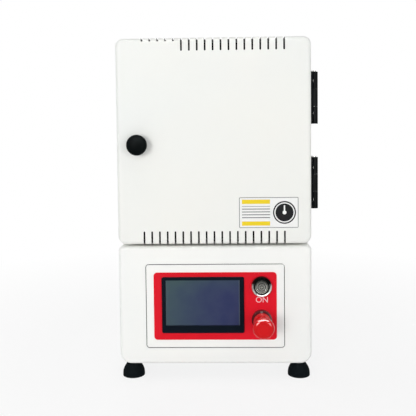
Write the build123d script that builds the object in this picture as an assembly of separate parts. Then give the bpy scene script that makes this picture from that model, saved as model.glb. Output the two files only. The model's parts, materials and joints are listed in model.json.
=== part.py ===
from build123d import *
import math
import os

# Bench muffle furnace with a side-hung door over a control fascia.
# Millimetres, +X to the right, +Y to the rear, +Z up. The front plane of the cabinet is y = 0
# and the floor is z = 0 while the pieces are made; every piece is moved at export so that the
# origin is the middle of the base of the whole furnace.

# ------------------------------------------------------------------ cabinet
CABINET_W = 300.0        # width over the outer shell
REAR_SPACE = 38.5        # air space between the chamber casing and the rear cover
SHELL_T = 1.5            # folded sheet of shell, fascia and door
PLATE_T = 2.0            # flat plates: front frame, rear cover, base tray
SHELL_CORNER_R = 10.0    # top edges of the outer shell
LIP = 12.0               # return lip of the front frame and the rear cover
FIT = 0.2                # gap between sheets that slide into each other
RUN = 0.3                # clearance round parts that pass through a hole

# ------------------------------------------------------------------ feet
FOOT_H = 26.0
FOOT_BASE_R = 17.5
FOOT_TOP_R = 6.6
FOOT_RIM = 3.0           # straight rim of the foot at the floor
FOOT_SIDE = 17.5         # foot's middle, in from the side
FOOT_INSET = 26.0        # from the front face of the fascia and from the rear
FOOT_SCREW_R = 2.0
FOOT_BULGE = 0.42        # the flank's bulge, as a part of the way from the top radius to the base's
FOOT_BULGE_RISE = 0.7    # height of the bulge, as a part of the rise from the rim
FOOT_RECESS_R = 6.0      # recess for the screw's head in the foot's sole
FOOT_RECESS_H = 10.0
FOOT_HEAD_R = 4.0        # screw head inside the recess
FOOT_HEAD_T = 3.0
FOOT_NUT_R = 4.04
FOOT_NUT_T = 3.2
FOOT_SCREW_OVER = 6.0    # the screw stands above the tray by this

# ------------------------------------------------------------------ fascia
FASCIA_H = 186.0
FASCIA_D = 44.0          # how far the fascia stands in front of the cabinet
FASCIA_BOTTOM_R = 18.0
EDGE_R = 6.0             # soft front edges of fascia and door
FASCIA_RETURN = 12.0     # depth of the fascia's bottom return
TONGUE_GAP = 0.5         # between the bottom return and the base tray
TONGUE_SIDE = 14.0       # the tray's tongue under the fascia starts this far in from each side

PANEL_W = 214.0          # inset plate that carries the controls
PANEL_H = 130.0
PANEL_R = 4.0
PANEL_RISE = 27.0        # from the fascia's bottom edge to the plate
PANEL_GAP = 1.1          # shadow gap round the plate
PANEL_FLANGE = 7.0       # flange behind the fascia's skin
OVERLAY_W = 191.0        # coloured front overlay
OVERLAY_H = 106.0
OVERLAY_T = 0.8
OVERLAY_R = 5.5

# ------------------------------------------------------------------ screen
SCREEN_W = 128.0
SCREEN_H = 88.0
SCREEN_PROUD = 3.2
SCREEN_R = 3.0
SCREEN_CHAMFER = 1.4
WINDOW_R = 1.0           # corners of the opening for the glass
SCREEN_LEFT = 12.5       # from the overlay's left edge
SCREEN_TOP = 7.0         # from the overlay's top edge
GLASS_W = 115.0
GLASS_H = 71.0
GLASS_T = 1.6
GLASS_R = 0.8
GLASS_LEFT = 6.2         # from the bezel's left edge
GLASS_TOP = 4.8          # from the bezel's top edge
HOUSING_MARGIN = 4.5     # the housing is smaller than the bezel by this each side
HOUSING_D = 30.0
SOCKET_W = 0.6           # socket recess, as parts of the housing's width and height
SOCKET_H = 0.3
SOCKET_D = 6.0
SOCKET_R = 2.0

# ------------------------------------------------------------------ push buttons
CONTROL_RIGHT = 23.5     # both buttons, from the overlay's right edge
START_TOP = 22.0         # from the overlay's top edge
ESTOP_TOP = 74.0
BARREL_R = 11.0          # threaded barrel behind the panel
BARREL_L = 25.0
NUT_R = 15.0
NUT_T = 5.0
BLOCK_W = 24.0           # contact block
BLOCK_D = 16.0
BLOCK_R = 2.0
TERMINAL_W = 6.0         # recess for a terminal
TERMINAL_END = 4.0       # from the block's front and rear
START_FLANGE_R = 15.8
START_FLANGE_T = 1.6
START_RIM_R = 12.6
START_PROUD = 7.5
START_FACE_R = 10.0
START_TRAVEL = 2.5
START_DIMPLE_R = 3.2
START_EASE = 0.8         # broken edge of the rim
START_FLANGE_EASE = 0.4
START_SUNK = 0.6         # the face stands this far inside the rim
START_GROOVE = 0.5       # depth of the turned groove round the pip
START_PIP = 0.6          # the pip's top and foot, as parts of the dimple's radius
START_PIP_FOOT = 0.75
START_GROOVE_EASE = 0.4
PLUNGER_END = 1.5        # between the pressed plunger and the end of its barrel
ESTOP_COLLAR_R = 15.6
ESTOP_COLLAR_T = 8.0
ESTOP_COLLAR_LAND = 4.0  # flat of the collar's front, in from its rim
ESTOP_COLLAR_EASE = 1.4  # slope between the flat and the rim
ESTOP_COLLAR_DROP = 2.2
ESTOP_HEAD_R = 16.0
ESTOP_HEAD_T = 12.0
ESTOP_PROUD = 49.0
ESTOP_NECK_R = 12.5
ESTOP_NECK_END_R = 10.0
ESTOP_WAIST = 0.5
ESTOP_LIP_R = 1.2
ESTOP_ROUND_R = 3.6
ESTOP_DISH = 1.4         # hollow in the middle of the head
ESTOP_STEM_R = 7.0
ESTOP_TRAVEL = 5.0
ESTOP_TENON_R = 4.0      # front end of the spindle, inside the head
ESTOP_TENON_L = 15.0
PIN_RUN = 0.05           # radial clearance of pins and shafts that turn

# ------------------------------------------------------------------ door
DOOR_SIDE = 1.0          # the door is narrower than the cabinet by this each side
DOOR_H = 316.0
DOOR_D = 45.0
DOOR_AIR = 5.0           # between the door's back and the cabinet front
DOOR_GAP = 4.0           # between the fascia and the door
DOOR_CORNER_R = 12.0
SLOT_PITCH = 12.0
SLOT_COUNT = 19
SLOT_W = 2.6
SLOT_L = 20.3            # along the face, from the door's edge
SLOT_SHORT_L = 5.6
SLOT_SHORT_COUNT = 5     # short slots at the left end of the top row
SLOT_WRAP = 22.0         # how far a slot runs back over the edge
LINER_T = 1.0
DOOR_BLOCK = 222.0       # insulation block in the door, square
DOOR_BLOCK_D = 32.0
PLUG_W = 170.0
PLUG_IN = 16.0           # how far the plug stands in the mouth
PLUG_CHAMFER = 3.0
GASKET_IN = 228.0
GASKET_BAND = 9.0
GASKET_GAP = 0.3
GASKET_CORNER = 14.0     # outer corner radius of the seal
GASKET_CORNER_IN = 6.0
KNOB_LEFT = 33.0         # knob axis from the door's left edge
KNOB_DROP = 4.5          # knob axis below the middle of the door
KNOB_R = 15.8
KNOB_H = 22.0
KNOB_HEAD_T = 13.0
KNOB_NECK_R = 9.0
KNOB_FOOT_R = 10.5
KNOB_EDGE_R = 5.0
KNOB_FACE_R = 6.5
KNOB_UNDER_R = 3.0       # the underside of the head ends this far inside its rim
KNOB_CROWN = 2.2
KNOB_RIM_AT = 0.35       # fullest place of the head, as a part of its thickness from the rear
KNOB_NECK_AT = 0.55      # thinnest place of the neck, as a part of its length
KNOB_BOLT_R = 3.0
KNOB_BOLT_L = 12.0       # in the knob
WASHER_R = 7.0
WASHER_T = 2.5
STRIKE_W = 12.0
STRIKE_H = 40.0
STRIKE_T = 1.2
STRIKE_EDGE = 8.0        # from the door's left edge

# ------------------------------------------------------------------ hinges
HINGE_SPREAD = 135.0     # between the two hinges
HINGE_H = 82.0
HINGE_LEAF_H = 74.0
HINGE_LEAF_D = 30.0
HINGE_LEAF_T = 4.0
HINGE_CORNER = 4.0
HINGE_BARREL_R = 7.0
HINGE_PIN_R = 3.0
HINGE_KNUCKLE = 27.0     # height of the middle knuckle
HINGE_SLACK = 0.4        # between knuckles
HINGE_WEB_IN = 0.5       # the web begins this far inside the leaf
HINGE_WEB_TOP = 0.6      # the web's outer corner on the knuckle, as parts of its radius
HINGE_WEB_SIDE = 0.8
HINGE_OUT = 9.0          # barrel axis, out from the cabinet's side
HINGE_SCREW_PITCH = 50.0
HINGE_SCREW_R = 2.5
SCREW_HEAD_R = 4.4
SCREW_HEAD_T = 2.6
SCREW_L = 7.0
PIN_HEAD_OVER = 1.8      # a pin's head is wider than the pin by this
PIN_HEAD_T = 1.6

# ------------------------------------------------------------------ heating chamber
CHAMBER_W = 150.0
CHAMBER_H = 150.0
CHAMBER_D = 228.0
BOARD_T = 49.0           # side, roof and floor boards
REAR_BOARD_T = 50.0
COLLAR_T = 18.0
MOUTH_CLEAR = 3.0        # between the door's plug and the collar
CASING_T = 1.0
CASING_FIT = 0.3
HEARTH_W = 140.0
HEARTH_T = 10.0
HEARTH_RIB = 3.0
HEARTH_END = 6.0         # from the collar and from the rear board
HEARTH_RIBS = 7
HEARTH_GROOVE_END = 8.0  # grooves stop this far from the plate's ends
HEARTH_GROOVE_DEEP = 1.5
WIRE_R = 2.0
WIRE_RUNS = 8
WIRE_PITCH = 15.0
WIRE_BEND_R = 6.0
WIRE_SUNK = 1.2          # wire axis behind the face of the board
WIRE_END = 12.0          # bends stay this far from the ends of the side boards
GROOVE_CLEAR = 0.7
BUSH_R = 6.0
BUSH_L = 12.0
TAIL_OVER = 4.0          # wire tails stand out of their bushes by this
PROBE_R = 4.0
PROBE_IN = 32.0          # how far the thermocouple stands in the chamber
PROBE_RISE = 45.0        # above the middle of the chamber
PROBE_X = -22.0
PROBE_HEAD_R = 12.0
PROBE_HEAD_L = 18.0
PROBE_FOOT_T = 3.0       # flange of the terminal head
PROBE_SKIRT = 2.0        # slope from the flange to the neck
PROBE_NECK = 3.0         # wall of the neck round the sheath
PROBE_TIP_FLAT = 0.5     # flat left at the middle of the round tip
FLUE_R = 9.0
FLUE_BORE_R = 6.0
FLUE_X = 22.0
FLUE_PROUD = 8.0
FLUE_FLANGE_R = 18.0
FLUE_FLANGE_T = 3.0
RAIL_W = 22.0
RAIL_INSET = 36.0        # middle of a rail, in from the side of the chamber casing
RAIL_T = 1.5
DECK_RISE = 6.0          # deck above the top of the fascia

# ------------------------------------------------------------------ electrics bay
FAN_W = 80.0
FAN_D = 25.0
FAN_BORE_R = 38.0
FAN_CORNER = 5.0
FAN_HOLE_R = 2.2
FAN_HOLE_IN = 4.5        # mounting holes, in from the frame's edges
FAN_SHAFT_IN = 4.0       # the shaft ends this far behind the frame's front
FAN_HUB_R = 16.0
FAN_BLADES = 7
BLADE_ROOT_T = 2.0
BLADE_TIP_T = 1.4
BLADE_ROOT_IN = 1.5      # blades begin this deep in the hub
BLADE_ROOT_PITCH = 42.0
BLADE_TIP_PITCH = 62.0
BLADE_SPREAD = 1.25      # a blade is this much longer at its tip
FAN_TIP_GAP = 1.2
FAN_SHAFT_R = 2.0
FAN_MOTOR_D = 8.0        # stator plate at the rear of the frame
FAN_SIDE = 90.0          # fan axis from the right side
FAN_Z = 112.0
FAN_SPIDER = 5.0         # width of the four arms that hold the motor
GUARD_RING_T = 1.6
GUARD_RINGS = 4
GLAND_SIDE = 45.0        # gland axis from the left side
GLAND_Z = 62.0
GLAND_BORE_R = 4.5
GLAND_R = 11.0
GLAND_NECK_R = 8.0
GLAND_NUT_R = 14.0
GLAND_NUT_T = 5.0
GLAND_ROUND = 4.0        # round of the domed nut
GLAND_PROUD = 22.0
GLAND_IN = 8.0
SINK_W = 100.0
SINK_D = 80.0
SINK_H = 28.0
SINK_BASE = 6.0
SINK_FINS = 9
SINK_FIN_T = 2.0
SINK_SIDE = 75.0         # middle of the sink and of the contactor, from the left side
SINK_Y = 225.0
RELAY_W = 44.0
RELAY_D = 58.0
RELAY_H = 24.0
RELAY_STEP = 0.2         # stepped ends, as parts of the relay's length and height
RELAY_STEP_H = 0.6
SUPPLY_W = 98.0
SUPPLY_D = 130.0
SUPPLY_H = 40.0
SUPPLY_SLOTS = 8
SUPPLY_SLOT_DEEP = 2.0
SUPPLY_SLOT_W = 1 / 3    # slot, as a part of the pitch
SUPPLY_SLOT_L = 2 / 3    # as a part of the supply's width
SUPPLY_CHAMFER = 1.5
SUPPLY_SIDE = 80.0       # middle of the supply, from the right side
SUPPLY_Y = 150.0
RAIL35_H = 35.0          # mounting rail for the contactor
RAIL35_L = 110.0
RAIL35_CROWN = 27.0
RAIL35_T = 1.0
RAIL35_D = 7.5
CONTACTOR_W = 45.0
CONTACTOR_H = 75.0
CONTACTOR_D = 60.0
CONTACTOR_Y = 70.0
CONTACTOR_STEP = 0.2     # stepped ends, as parts of the contactor's length and height
CONTACTOR_STEP_H = 0.65
LOUVRE_COUNT = 12
LOUVRE_PITCH = 9.0
LOUVRE_W = 3.0
LOUVRE_L = 46.0
LOUVRE_RISE = 120.0      # lowest edge of the side slots above the base
REAR_VENT_COUNT = 9
REAR_VENT_L = 60.0
REAR_VENT_PITCH = 10.0
COVER_SCREW_INSET = 9.0
COVER_SCREW_LOW = 36.0   # lowest screw above the tray
COVER_SCREW_HIGH = 27.0  # highest screw below the inside of the top
COVER_SCREWS = 4         # up each side

# ------------------------------------------------------------------ places worked out from the sizes
HALF_W = CABINET_W / 2
DOOR_W = CABINET_W - 2 * DOOR_SIDE
TONGUE_W = CABINET_W - 2 * TONGUE_SIDE
FOOT_X = HALF_W - FOOT_SIDE
FAN_X = HALF_W - FAN_SIDE
GLAND_X = -HALF_W + GLAND_SIDE
SINK_X = -HALF_W + SINK_SIDE
CONTACTOR_X = SINK_X
SUPPLY_X = HALF_W - SUPPLY_SIDE
FASCIA_TOP = FOOT_H + FASCIA_H
DOOR_BOTTOM = FASCIA_TOP + DOOR_GAP
CABINET_TOP = DOOR_BOTTOM + DOOR_H
DOOR_BACK = -DOOR_AIR
DOOR_FRONT = DOOR_BACK - DOOR_D
DOOR_MID = DOOR_BOTTOM + DOOR_H / 2
FASCIA_FRONT = -FASCIA_D
TRAY_TOP = FOOT_H + PLATE_T
INSIDE_HALF_W = HALF_W - SHELL_T - FIT
INSIDE_TOP = CABINET_TOP - SHELL_T - FIT

PANEL_MID = FOOT_H + PANEL_RISE + PANEL_H / 2
OVERLAY_FRONT = FASCIA_FRONT - OVERLAY_T
PANEL_BACK = FASCIA_FRONT + 2 * SHELL_T
CONTROL_X = OVERLAY_W / 2 - CONTROL_RIGHT
OVERLAY_TOP = PANEL_MID + OVERLAY_H / 2
START_Z = OVERLAY_TOP - START_TOP
ESTOP_Z = OVERLAY_TOP - ESTOP_TOP
SCREEN_X = -OVERLAY_W / 2 + SCREEN_LEFT + SCREEN_W / 2
SCREEN_Z = OVERLAY_TOP - SCREEN_TOP - SCREEN_H / 2
GLASS_X = SCREEN_X - SCREEN_W / 2 + GLASS_LEFT + GLASS_W / 2
GLASS_Z = SCREEN_Z + SCREEN_H / 2 - GLASS_TOP - GLASS_H / 2
HOUSING_W = SCREEN_W - 2 * HOUSING_MARGIN
HOUSING_H = SCREEN_H - 2 * HOUSING_MARGIN
BARREL_END = OVERLAY_FRONT + BARREL_L

HINGE_X = HALF_W + HINGE_OUT
HINGE_Y = DOOR_BACK / 2
HINGE_LEAF_START = HINGE_BARREL_R + 1.0

CASING_HALF = CHAMBER_W / 2 + BOARD_T + CASING_FIT + CASING_T
CASING_HALF_H = CHAMBER_H / 2 + BOARD_T + CASING_FIT + CASING_T
RAIL_X = CASING_HALF - RAIL_INSET
COLLAR_FRONT = PLATE_T + FIT
COLLAR_BACK = COLLAR_FRONT + COLLAR_T
CHAMBER_BACK = COLLAR_BACK + CHAMBER_D
BOARD_BACK = CHAMBER_BACK + REAR_BOARD_T
CASING_BACK = BOARD_BACK + CASING_FIT + CASING_T
COVER_FRONT = CASING_BACK + REAR_SPACE
CABINET_D = COVER_FRONT + PLATE_T
MOUTH_W = PLUG_W + 2 * MOUTH_CLEAR
PROBE_Z = DOOR_MID + PROBE_RISE
DECK_Z = FASCIA_TOP + DECK_RISE
DECK_TOP = DECK_Z + SHELL_T
FAN_BACK = COVER_FRONT
KNOB_X = -DOOR_W / 2 + KNOB_LEFT
KNOB_Z = DOOR_MID - KNOB_DROP


# ------------------------------------------------------------------ helpers
def block(x0, x1, y0, y1, z0, z1):
    """A box given by its two ends along each axis."""
    size = Box(x1 - x0, y1 - y0, z1 - z0)
    return Pos((x0 + x1) / 2, (y0 + y1) / 2, (z0 + z1) / 2) * size


def front_plane(x, y, z):
    """A drawing plane that faces the front: its x is +X and its y is +Z."""
    return Plane(origin=(x, y, z), x_dir=(1, 0, 0), z_dir=(0, -1, 0))


def push_back(sketch, x, y, z, depth):
    """A front-view outline at (x, y, z), given thickness towards the rear."""
    return extrude(front_plane(x, y, z) * sketch, amount=-depth)


def rounded(width, height, radius):
    """A rounded rectangle."""
    return RectangleRounded(width, height, radius)


def turned(points, x, y, z):
    """A body of revolution about the axis through (x, z) along Y.
    Each point is (radius, distance behind y)."""
    outline = make_face(Polyline(*points, close=True))
    profile = Plane(origin=(x, y, z), x_dir=(1, 0, 0), z_dir=(0, 0, 1)) * outline
    return revolve(profile, Axis((x, y, z), (0, 1, 0)))


def turned_outline(edges, x, y, z):
    """The same, for an outline of lines and arcs."""
    profile = Plane(origin=(x, y, z), x_dir=(1, 0, 0), z_dir=(0, 0, 1)) * make_face(edges)
    return revolve(profile, Axis((x, y, z), (0, 1, 0)))


def dome_arc(radius, edge, tip):
    """An arc from (radius, edge) to the axis at tip, centred on the axis."""
    rise = tip - edge
    sphere = (radius**2 + rise**2) / (2 * rise)
    half_way = math.copysign(math.sqrt(sphere**2 - (radius / 2) ** 2), rise)
    return ThreePointArc((radius, edge), (radius / 2, tip - sphere + half_way), (0, tip))


def rod_y(radius, x, y0, y1, z):
    """A round bar along Y."""
    return push_back(Circle(radius), x, y0, z, y1 - y0)


def rod_x(radius, x0, x1, y, z):
    """A round bar along X."""
    return extrude(Plane(origin=(x0, y, z), z_dir=(1, 0, 0)) * Circle(radius), amount=x1 - x0)


def rod_z(radius, x, y, z0, z1):
    """A round bar along Z."""
    return extrude(Plane(origin=(x, y, z0)) * Circle(radius), amount=z1 - z0)


def mirrored(shape):
    """The same piece on the other side of the centre plane."""
    return mirror(shape, about=Plane.YZ)


def edges_at(shape, axis, position):
    """The edges that lie wholly at one position along an axis."""
    return shape.edges().filter_by_position(axis, position, position)


def screw_points(half_x, low, high, count):
    """Rows of screw places up both sides of a cover."""
    step = (high - low) / (count - 1)
    return [(side * half_x, low + step * i) for side in (-1, 1) for i in range(count)]


# ------------------------------------------------------------------ cabinet sheet metal
def outer_shell():
    """Top and both sides in one folded sheet, with cooling slots low on each side."""
    height = CABINET_TOP - FOOT_H
    whole = Rectangle(CABINET_W, height)
    whole = fillet(whole.vertices().group_by(Axis.Y)[-1], SHELL_CORNER_R)
    inner_w = CABINET_W - 2 * SHELL_T
    hollow = Pos(0, -SHELL_T) * Rectangle(inner_w, height)
    hollow = fillet(hollow.vertices().group_by(Axis.Y)[-1], SHELL_CORNER_R - SHELL_T)
    shell = push_back(whole - hollow, 0, 0, FOOT_H + height / 2, CABINET_D)
    slots = []
    first = CABINET_D / 2 - LOUVRE_PITCH * (LOUVRE_COUNT - 1) / 2
    for i in range(LOUVRE_COUNT):
        y = first + LOUVRE_PITCH * i
        slot_plane = Plane(origin=(-HALF_W - 1, y, FOOT_H + LOUVRE_RISE), x_dir=(0, 0, 1), z_dir=(1, 0, 0))
        slots.append(extrude(slot_plane * SlotOverall(LOUVRE_L, LOUVRE_W), amount=CABINET_W + 2))
    holes = [
        rod_x(HINGE_SCREW_R + RUN, HALF_W - 2 * SHELL_T, HALF_W + 1, -hinge_screw_y() + 2 * HINGE_Y, z)
        for z in hinge_screw_heights()
    ]
    return shell - slots - holes


def base_tray():
    """Floor of the cabinet, with upturned sides and a tongue that reaches under the fascia."""
    tongue_front = FASCIA_FRONT + FASCIA_RETURN + TONGUE_GAP
    tray = block(-INSIDE_HALF_W, INSIDE_HALF_W, 0, CABINET_D, FOOT_H, TRAY_TOP)
    tray += block(-TONGUE_W / 2, TONGUE_W / 2, tongue_front, 0, FOOT_H, TRAY_TOP)
    side_y0 = PLATE_T + LIP + FIT
    side_y1 = COVER_FRONT - LIP - FIT
    for side in (-1, 1):
        outer = side * INSIDE_HALF_W
        inner = outer - side * SHELL_T
        tray += block(min(outer, inner), max(outer, inner), side_y0, side_y1, TRAY_TOP, TRAY_TOP + LIP)
    holes = [rod_z(FOOT_SCREW_R + RUN, x, y, FOOT_H - 1, TRAY_TOP + 1) for x, y in foot_places()]
    return tray - holes


def front_frame():
    """Plate behind the door, with the square mouth, a wiring window and a return lip."""
    width = 2 * INSIDE_HALF_W
    height = INSIDE_TOP - TRAY_TOP
    mid = (INSIDE_TOP + TRAY_TOP) / 2
    corner = SHELL_CORNER_R - SHELL_T
    outline = fillet(Rectangle(width, height).vertices().group_by(Axis.Y)[-1], corner)
    inside = Pos(0, -SHELL_T) * Rectangle(width - 2 * SHELL_T, height)
    inside = fillet(inside.vertices().group_by(Axis.Y)[-1], corner - SHELL_T)
    frame = push_back(outline, 0, 0, mid, PLATE_T)
    frame += push_back(outline - inside, 0, PLATE_T, mid, LIP)
    mouth = MOUTH_W + 2 * FIT
    frame -= block(-mouth / 2, mouth / 2, -1, PLATE_T + 1, DOOR_MID - mouth / 2, DOOR_MID + mouth / 2)
    frame -= push_back(rounded(PANEL_W, PANEL_H, PANEL_R), 0, -1, PANEL_MID, PLATE_T + 2)
    return frame


def rear_cover():
    """Rear plate with a return lip, slots, the fan hole, the flue hole and the gland hole."""
    width = 2 * INSIDE_HALF_W
    height = INSIDE_TOP - TRAY_TOP
    mid = (INSIDE_TOP + TRAY_TOP) / 2
    corner = SHELL_CORNER_R - SHELL_T
    outline = fillet(Rectangle(width, height).vertices().group_by(Axis.Y)[-1], corner)
    inside = Pos(0, -SHELL_T) * Rectangle(width - 2 * SHELL_T, height)
    inside = fillet(inside.vertices().group_by(Axis.Y)[-1], corner - SHELL_T)
    cover = push_back(outline, 0, COVER_FRONT, mid, PLATE_T)
    cover += push_back(outline - inside, 0, COVER_FRONT - LIP, mid, LIP)
    through = PLATE_T + 2
    cuts = [push_back(Circle(FAN_BORE_R), FAN_X, COVER_FRONT - 1, FAN_Z, through)]
    cuts.append(push_back(Circle(FLUE_R + RUN), FLUE_X, COVER_FRONT - 1, PROBE_Z, through))
    cuts.append(push_back(Circle(GLAND_NECK_R + RUN), GLAND_X, COVER_FRONT - 1, GLAND_Z, through))
    lowest = DOOR_MID - REAR_VENT_PITCH * (REAR_VENT_COUNT - 1) / 2
    for i in range(REAR_VENT_COUNT):
        for side in (-1, 1):
            slot = SlotOverall(REAR_VENT_L, LOUVRE_W)
            z = lowest + REAR_VENT_PITCH * i
            cuts.append(push_back(slot, side * INSIDE_HALF_W / 2, COVER_FRONT - 1, z, through))
    for x, z in cover_screw_places():
        cuts.append(push_back(Circle(HINGE_SCREW_R + RUN), x, COVER_FRONT - 1, z, through))
    return cover - cuts


def cover_screw_places():
    """Four screws up each side of the rear cover."""
    low = TRAY_TOP + COVER_SCREW_LOW
    high = INSIDE_TOP - COVER_SCREW_HIGH
    return screw_points(INSIDE_HALF_W - COVER_SCREW_INSET, low, high, COVER_SCREWS)


def rear_cover_screws():
    """Pan-head screws of the rear cover."""
    return [pan_screw_y(x, CABINET_D, z) for x, z in cover_screw_places()]


def pan_screw_y(x, y, z):
    """A pan-head screw on a rear face: its head stands behind y."""
    head = rod_y(SCREW_HEAD_R, x, y, y + SCREW_HEAD_T, z)
    head = fillet(edges_at(head, Axis.Y, y + SCREW_HEAD_T), SCREW_HEAD_T / 3)
    return head + rod_y(HINGE_SCREW_R, x, y - SCREW_L, y, z)


def deck():
    """Shelf between the chamber and the electrics bay."""
    half = INSIDE_HALF_W - SHELL_T - FIT
    return block(-half, half, PLATE_T + FIT, COVER_FRONT - FIT, DECK_Z, DECK_TOP)


def casing_rails():
    """Two folded channels that hold the chamber casing clear of the deck."""
    height = DOOR_MID - CASING_HALF_H - DECK_TOP
    channel = Rectangle(RAIL_W, height) - Pos(RAIL_T, 0) * Rectangle(RAIL_W, height - 2 * RAIL_T)
    length = CHAMBER_BACK - COLLAR_BACK
    rail = push_back(channel, RAIL_X, COLLAR_BACK, DECK_TOP + height / 2, length)
    return [rail, mirrored(rail)]


# ------------------------------------------------------------------ feet
def foot_places():
    front = FASCIA_FRONT + FOOT_INSET
    rear = CABINET_D - FOOT_INSET
    return [(side * FOOT_X, y) for side in (-1, 1) for y in (front, rear)]


def foot(x, y):
    """A flared rubber foot with a recess in its sole for the screw."""
    rise = FOOT_H - FOOT_RIM
    side = Spline(
        (FOOT_BASE_R, FOOT_RIM),
        (FOOT_TOP_R + FOOT_BULGE * (FOOT_BASE_R - FOOT_TOP_R), FOOT_RIM + FOOT_BULGE_RISE * rise),
        (FOOT_TOP_R, FOOT_H),
        tangents=((0, 1), (-0.6, 1)),
    )
    rest = Polyline(
        (FOOT_TOP_R, FOOT_H),
        (FOOT_SCREW_R + RUN, FOOT_H),
        (FOOT_SCREW_R + RUN, FOOT_RECESS_H),
        (FOOT_RECESS_R, FOOT_RECESS_H),
        (FOOT_RECESS_R, 0),
        (FOOT_BASE_R, 0),
        (FOOT_BASE_R, FOOT_RIM),
    )
    profile = Plane.XZ * make_face([side, rest])
    return Pos(x, y, 0) * revolve(profile, Axis.Z)


def feet():
    return [foot(x, y) for x, y in foot_places()]


def foot_screws():
    """Screws up through the feet into the base tray, each with its nut on the tray."""
    screws = []
    for x, y in foot_places():
        head = rod_z(FOOT_HEAD_R, x, y, FOOT_RECESS_H - FOOT_HEAD_T, FOOT_RECESS_H)
        shank = rod_z(FOOT_SCREW_R, x, y, FOOT_RECESS_H, TRAY_TOP + FOOT_SCREW_OVER)
        nut = Pos(x, y, TRAY_TOP) * extrude(RegularPolygon(FOOT_NUT_R, 6, rotation=30), amount=FOOT_NUT_T)
        screws.append(head + shank + nut)
    return screws


# ------------------------------------------------------------------ formed pans
def pan(width, height, depth, corners, x, front, z):
    """A sheet pan that opens to the rear, with soft front edges. corners are the radii
    of its bottom and its top corners."""
    def outline(shrink):
        face = Rectangle(width - 2 * shrink, height - 2 * shrink)
        low = face.vertices().group_by(Axis.Y)[0]
        face = fillet(low, corners[0] - shrink)
        high = face.vertices().group_by(Axis.Y)[-1]
        return fillet(high, corners[1] - shrink)
    outer = push_back(outline(0), x, front, z, depth)
    outer = fillet(edges_at(outer, Axis.Y, front), EDGE_R - 0.01)
    inner = push_back(outline(SHELL_T), x, front + SHELL_T, z, depth)
    inner = fillet(edges_at(inner, Axis.Y, front + SHELL_T), EDGE_R - SHELL_T)
    return outer - inner


def fascia():
    """Front pan below the door, with the window for the control panel."""
    body = pan(
        CABINET_W,
        FASCIA_H,
        FASCIA_D - FIT,
        (FASCIA_BOTTOM_R, EDGE_R + 1),
        0,
        FASCIA_FRONT,
        FOOT_H + FASCIA_H / 2,
    )
    window = rounded(PANEL_W + 2 * PANEL_GAP, PANEL_H + 2 * PANEL_GAP, PANEL_R + PANEL_GAP)
    body -= push_back(window, 0, FASCIA_FRONT - 1, PANEL_MID, SHELL_T + 2)
    half = TONGUE_W / 2 + TONGUE_GAP
    body -= block(-half, half, FASCIA_FRONT + FASCIA_RETURN, 1, FOOT_H - 1, TRAY_TOP + TONGUE_GAP)
    return body


def panel_plate():
    """Inset plate of the fascia: a flush field on a flange that seats behind the skin."""
    plate = push_back(rounded(PANEL_W, PANEL_H, PANEL_R), 0, FASCIA_FRONT, PANEL_MID, SHELL_T)
    back = rounded(PANEL_W + 2 * PANEL_FLANGE, PANEL_H + 2 * PANEL_FLANGE, PANEL_R)
    plate += push_back(back, 0, FASCIA_FRONT + SHELL_T, PANEL_MID, SHELL_T)
    return plate - panel_holes(FASCIA_FRONT - 1, 2 * SHELL_T + 2)


def panel_holes(y, depth):
    """Holes for the screen and the two buttons, shared by the plate and its overlay."""
    screen = rounded(HOUSING_W + 2 * RUN, HOUSING_H + 2 * RUN, SCREEN_R)
    holes = [push_back(screen, SCREEN_X, y, SCREEN_Z, depth)]
    for z in (START_Z, ESTOP_Z):
        holes.append(push_back(Circle(BARREL_R + RUN), CONTROL_X, y, z, depth))
    return holes


def front_overlay():
    """Coloured sheet on the panel plate."""
    sheet = push_back(rounded(OVERLAY_W, OVERLAY_H, OVERLAY_R), 0, OVERLAY_FRONT, PANEL_MID, OVERLAY_T)
    return sheet - panel_holes(OVERLAY_FRONT - 1, OVERLAY_T + 2)


# ------------------------------------------------------------------ screen
def screen_bezel():
    """Frame of the touch screen, chamfered at the front."""
    frame = push_back(
        rounded(SCREEN_W, SCREEN_H, SCREEN_R), SCREEN_X, OVERLAY_FRONT - SCREEN_PROUD, SCREEN_Z, SCREEN_PROUD
    )
    frame = chamfer(edges_at(frame, Axis.Y, OVERLAY_FRONT - SCREEN_PROUD), SCREEN_CHAMFER)
    window = rounded(GLASS_W + 2 * FIT, GLASS_H + 2 * FIT, WINDOW_R)
    return frame - push_back(window, GLASS_X, OVERLAY_FRONT - SCREEN_PROUD - 1, GLASS_Z, SCREEN_PROUD + 2)


def screen_glass():
    """Touch glass, let into the bezel and lying on the housing."""
    outline = rounded(GLASS_W, GLASS_H, GLASS_R)
    return push_back(outline, GLASS_X, OVERLAY_FRONT - GLASS_T, GLASS_Z, GLASS_T)


def screen_housing():
    """Closed housing of the display behind the panel, with a recessed back for its sockets."""
    outline = rounded(HOUSING_W, HOUSING_H, SOCKET_R)
    body = push_back(outline, SCREEN_X, OVERLAY_FRONT, SCREEN_Z, HOUSING_D)
    back = OVERLAY_FRONT + HOUSING_D
    recess = rounded(HOUSING_W * SOCKET_W, HOUSING_H * SOCKET_H, SOCKET_R)
    body -= push_back(recess, SCREEN_X, back - SOCKET_D, SCREEN_Z - HOUSING_H / 4, SOCKET_D + 1)
    return body


# ------------------------------------------------------------------ start button
def start_bezel():
    """Turned ring and threaded barrel of the start button."""
    bore = START_FACE_R + RUN
    return turned(
        [
            (bore, BARREL_L),
            (bore, -START_PROUD),
            (START_RIM_R - START_EASE, -START_PROUD),
            (START_RIM_R, -START_PROUD + START_EASE),
            (START_FLANGE_R - START_FLANGE_EASE, -START_FLANGE_T),
            (START_FLANGE_R, -START_FLANGE_T + START_FLANGE_EASE),
            (START_FLANGE_R, 0),
            (BARREL_R, 0),
            (BARREL_R, BARREL_L),
        ],
        CONTROL_X,
        OVERLAY_FRONT,
        START_Z,
    )


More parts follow.
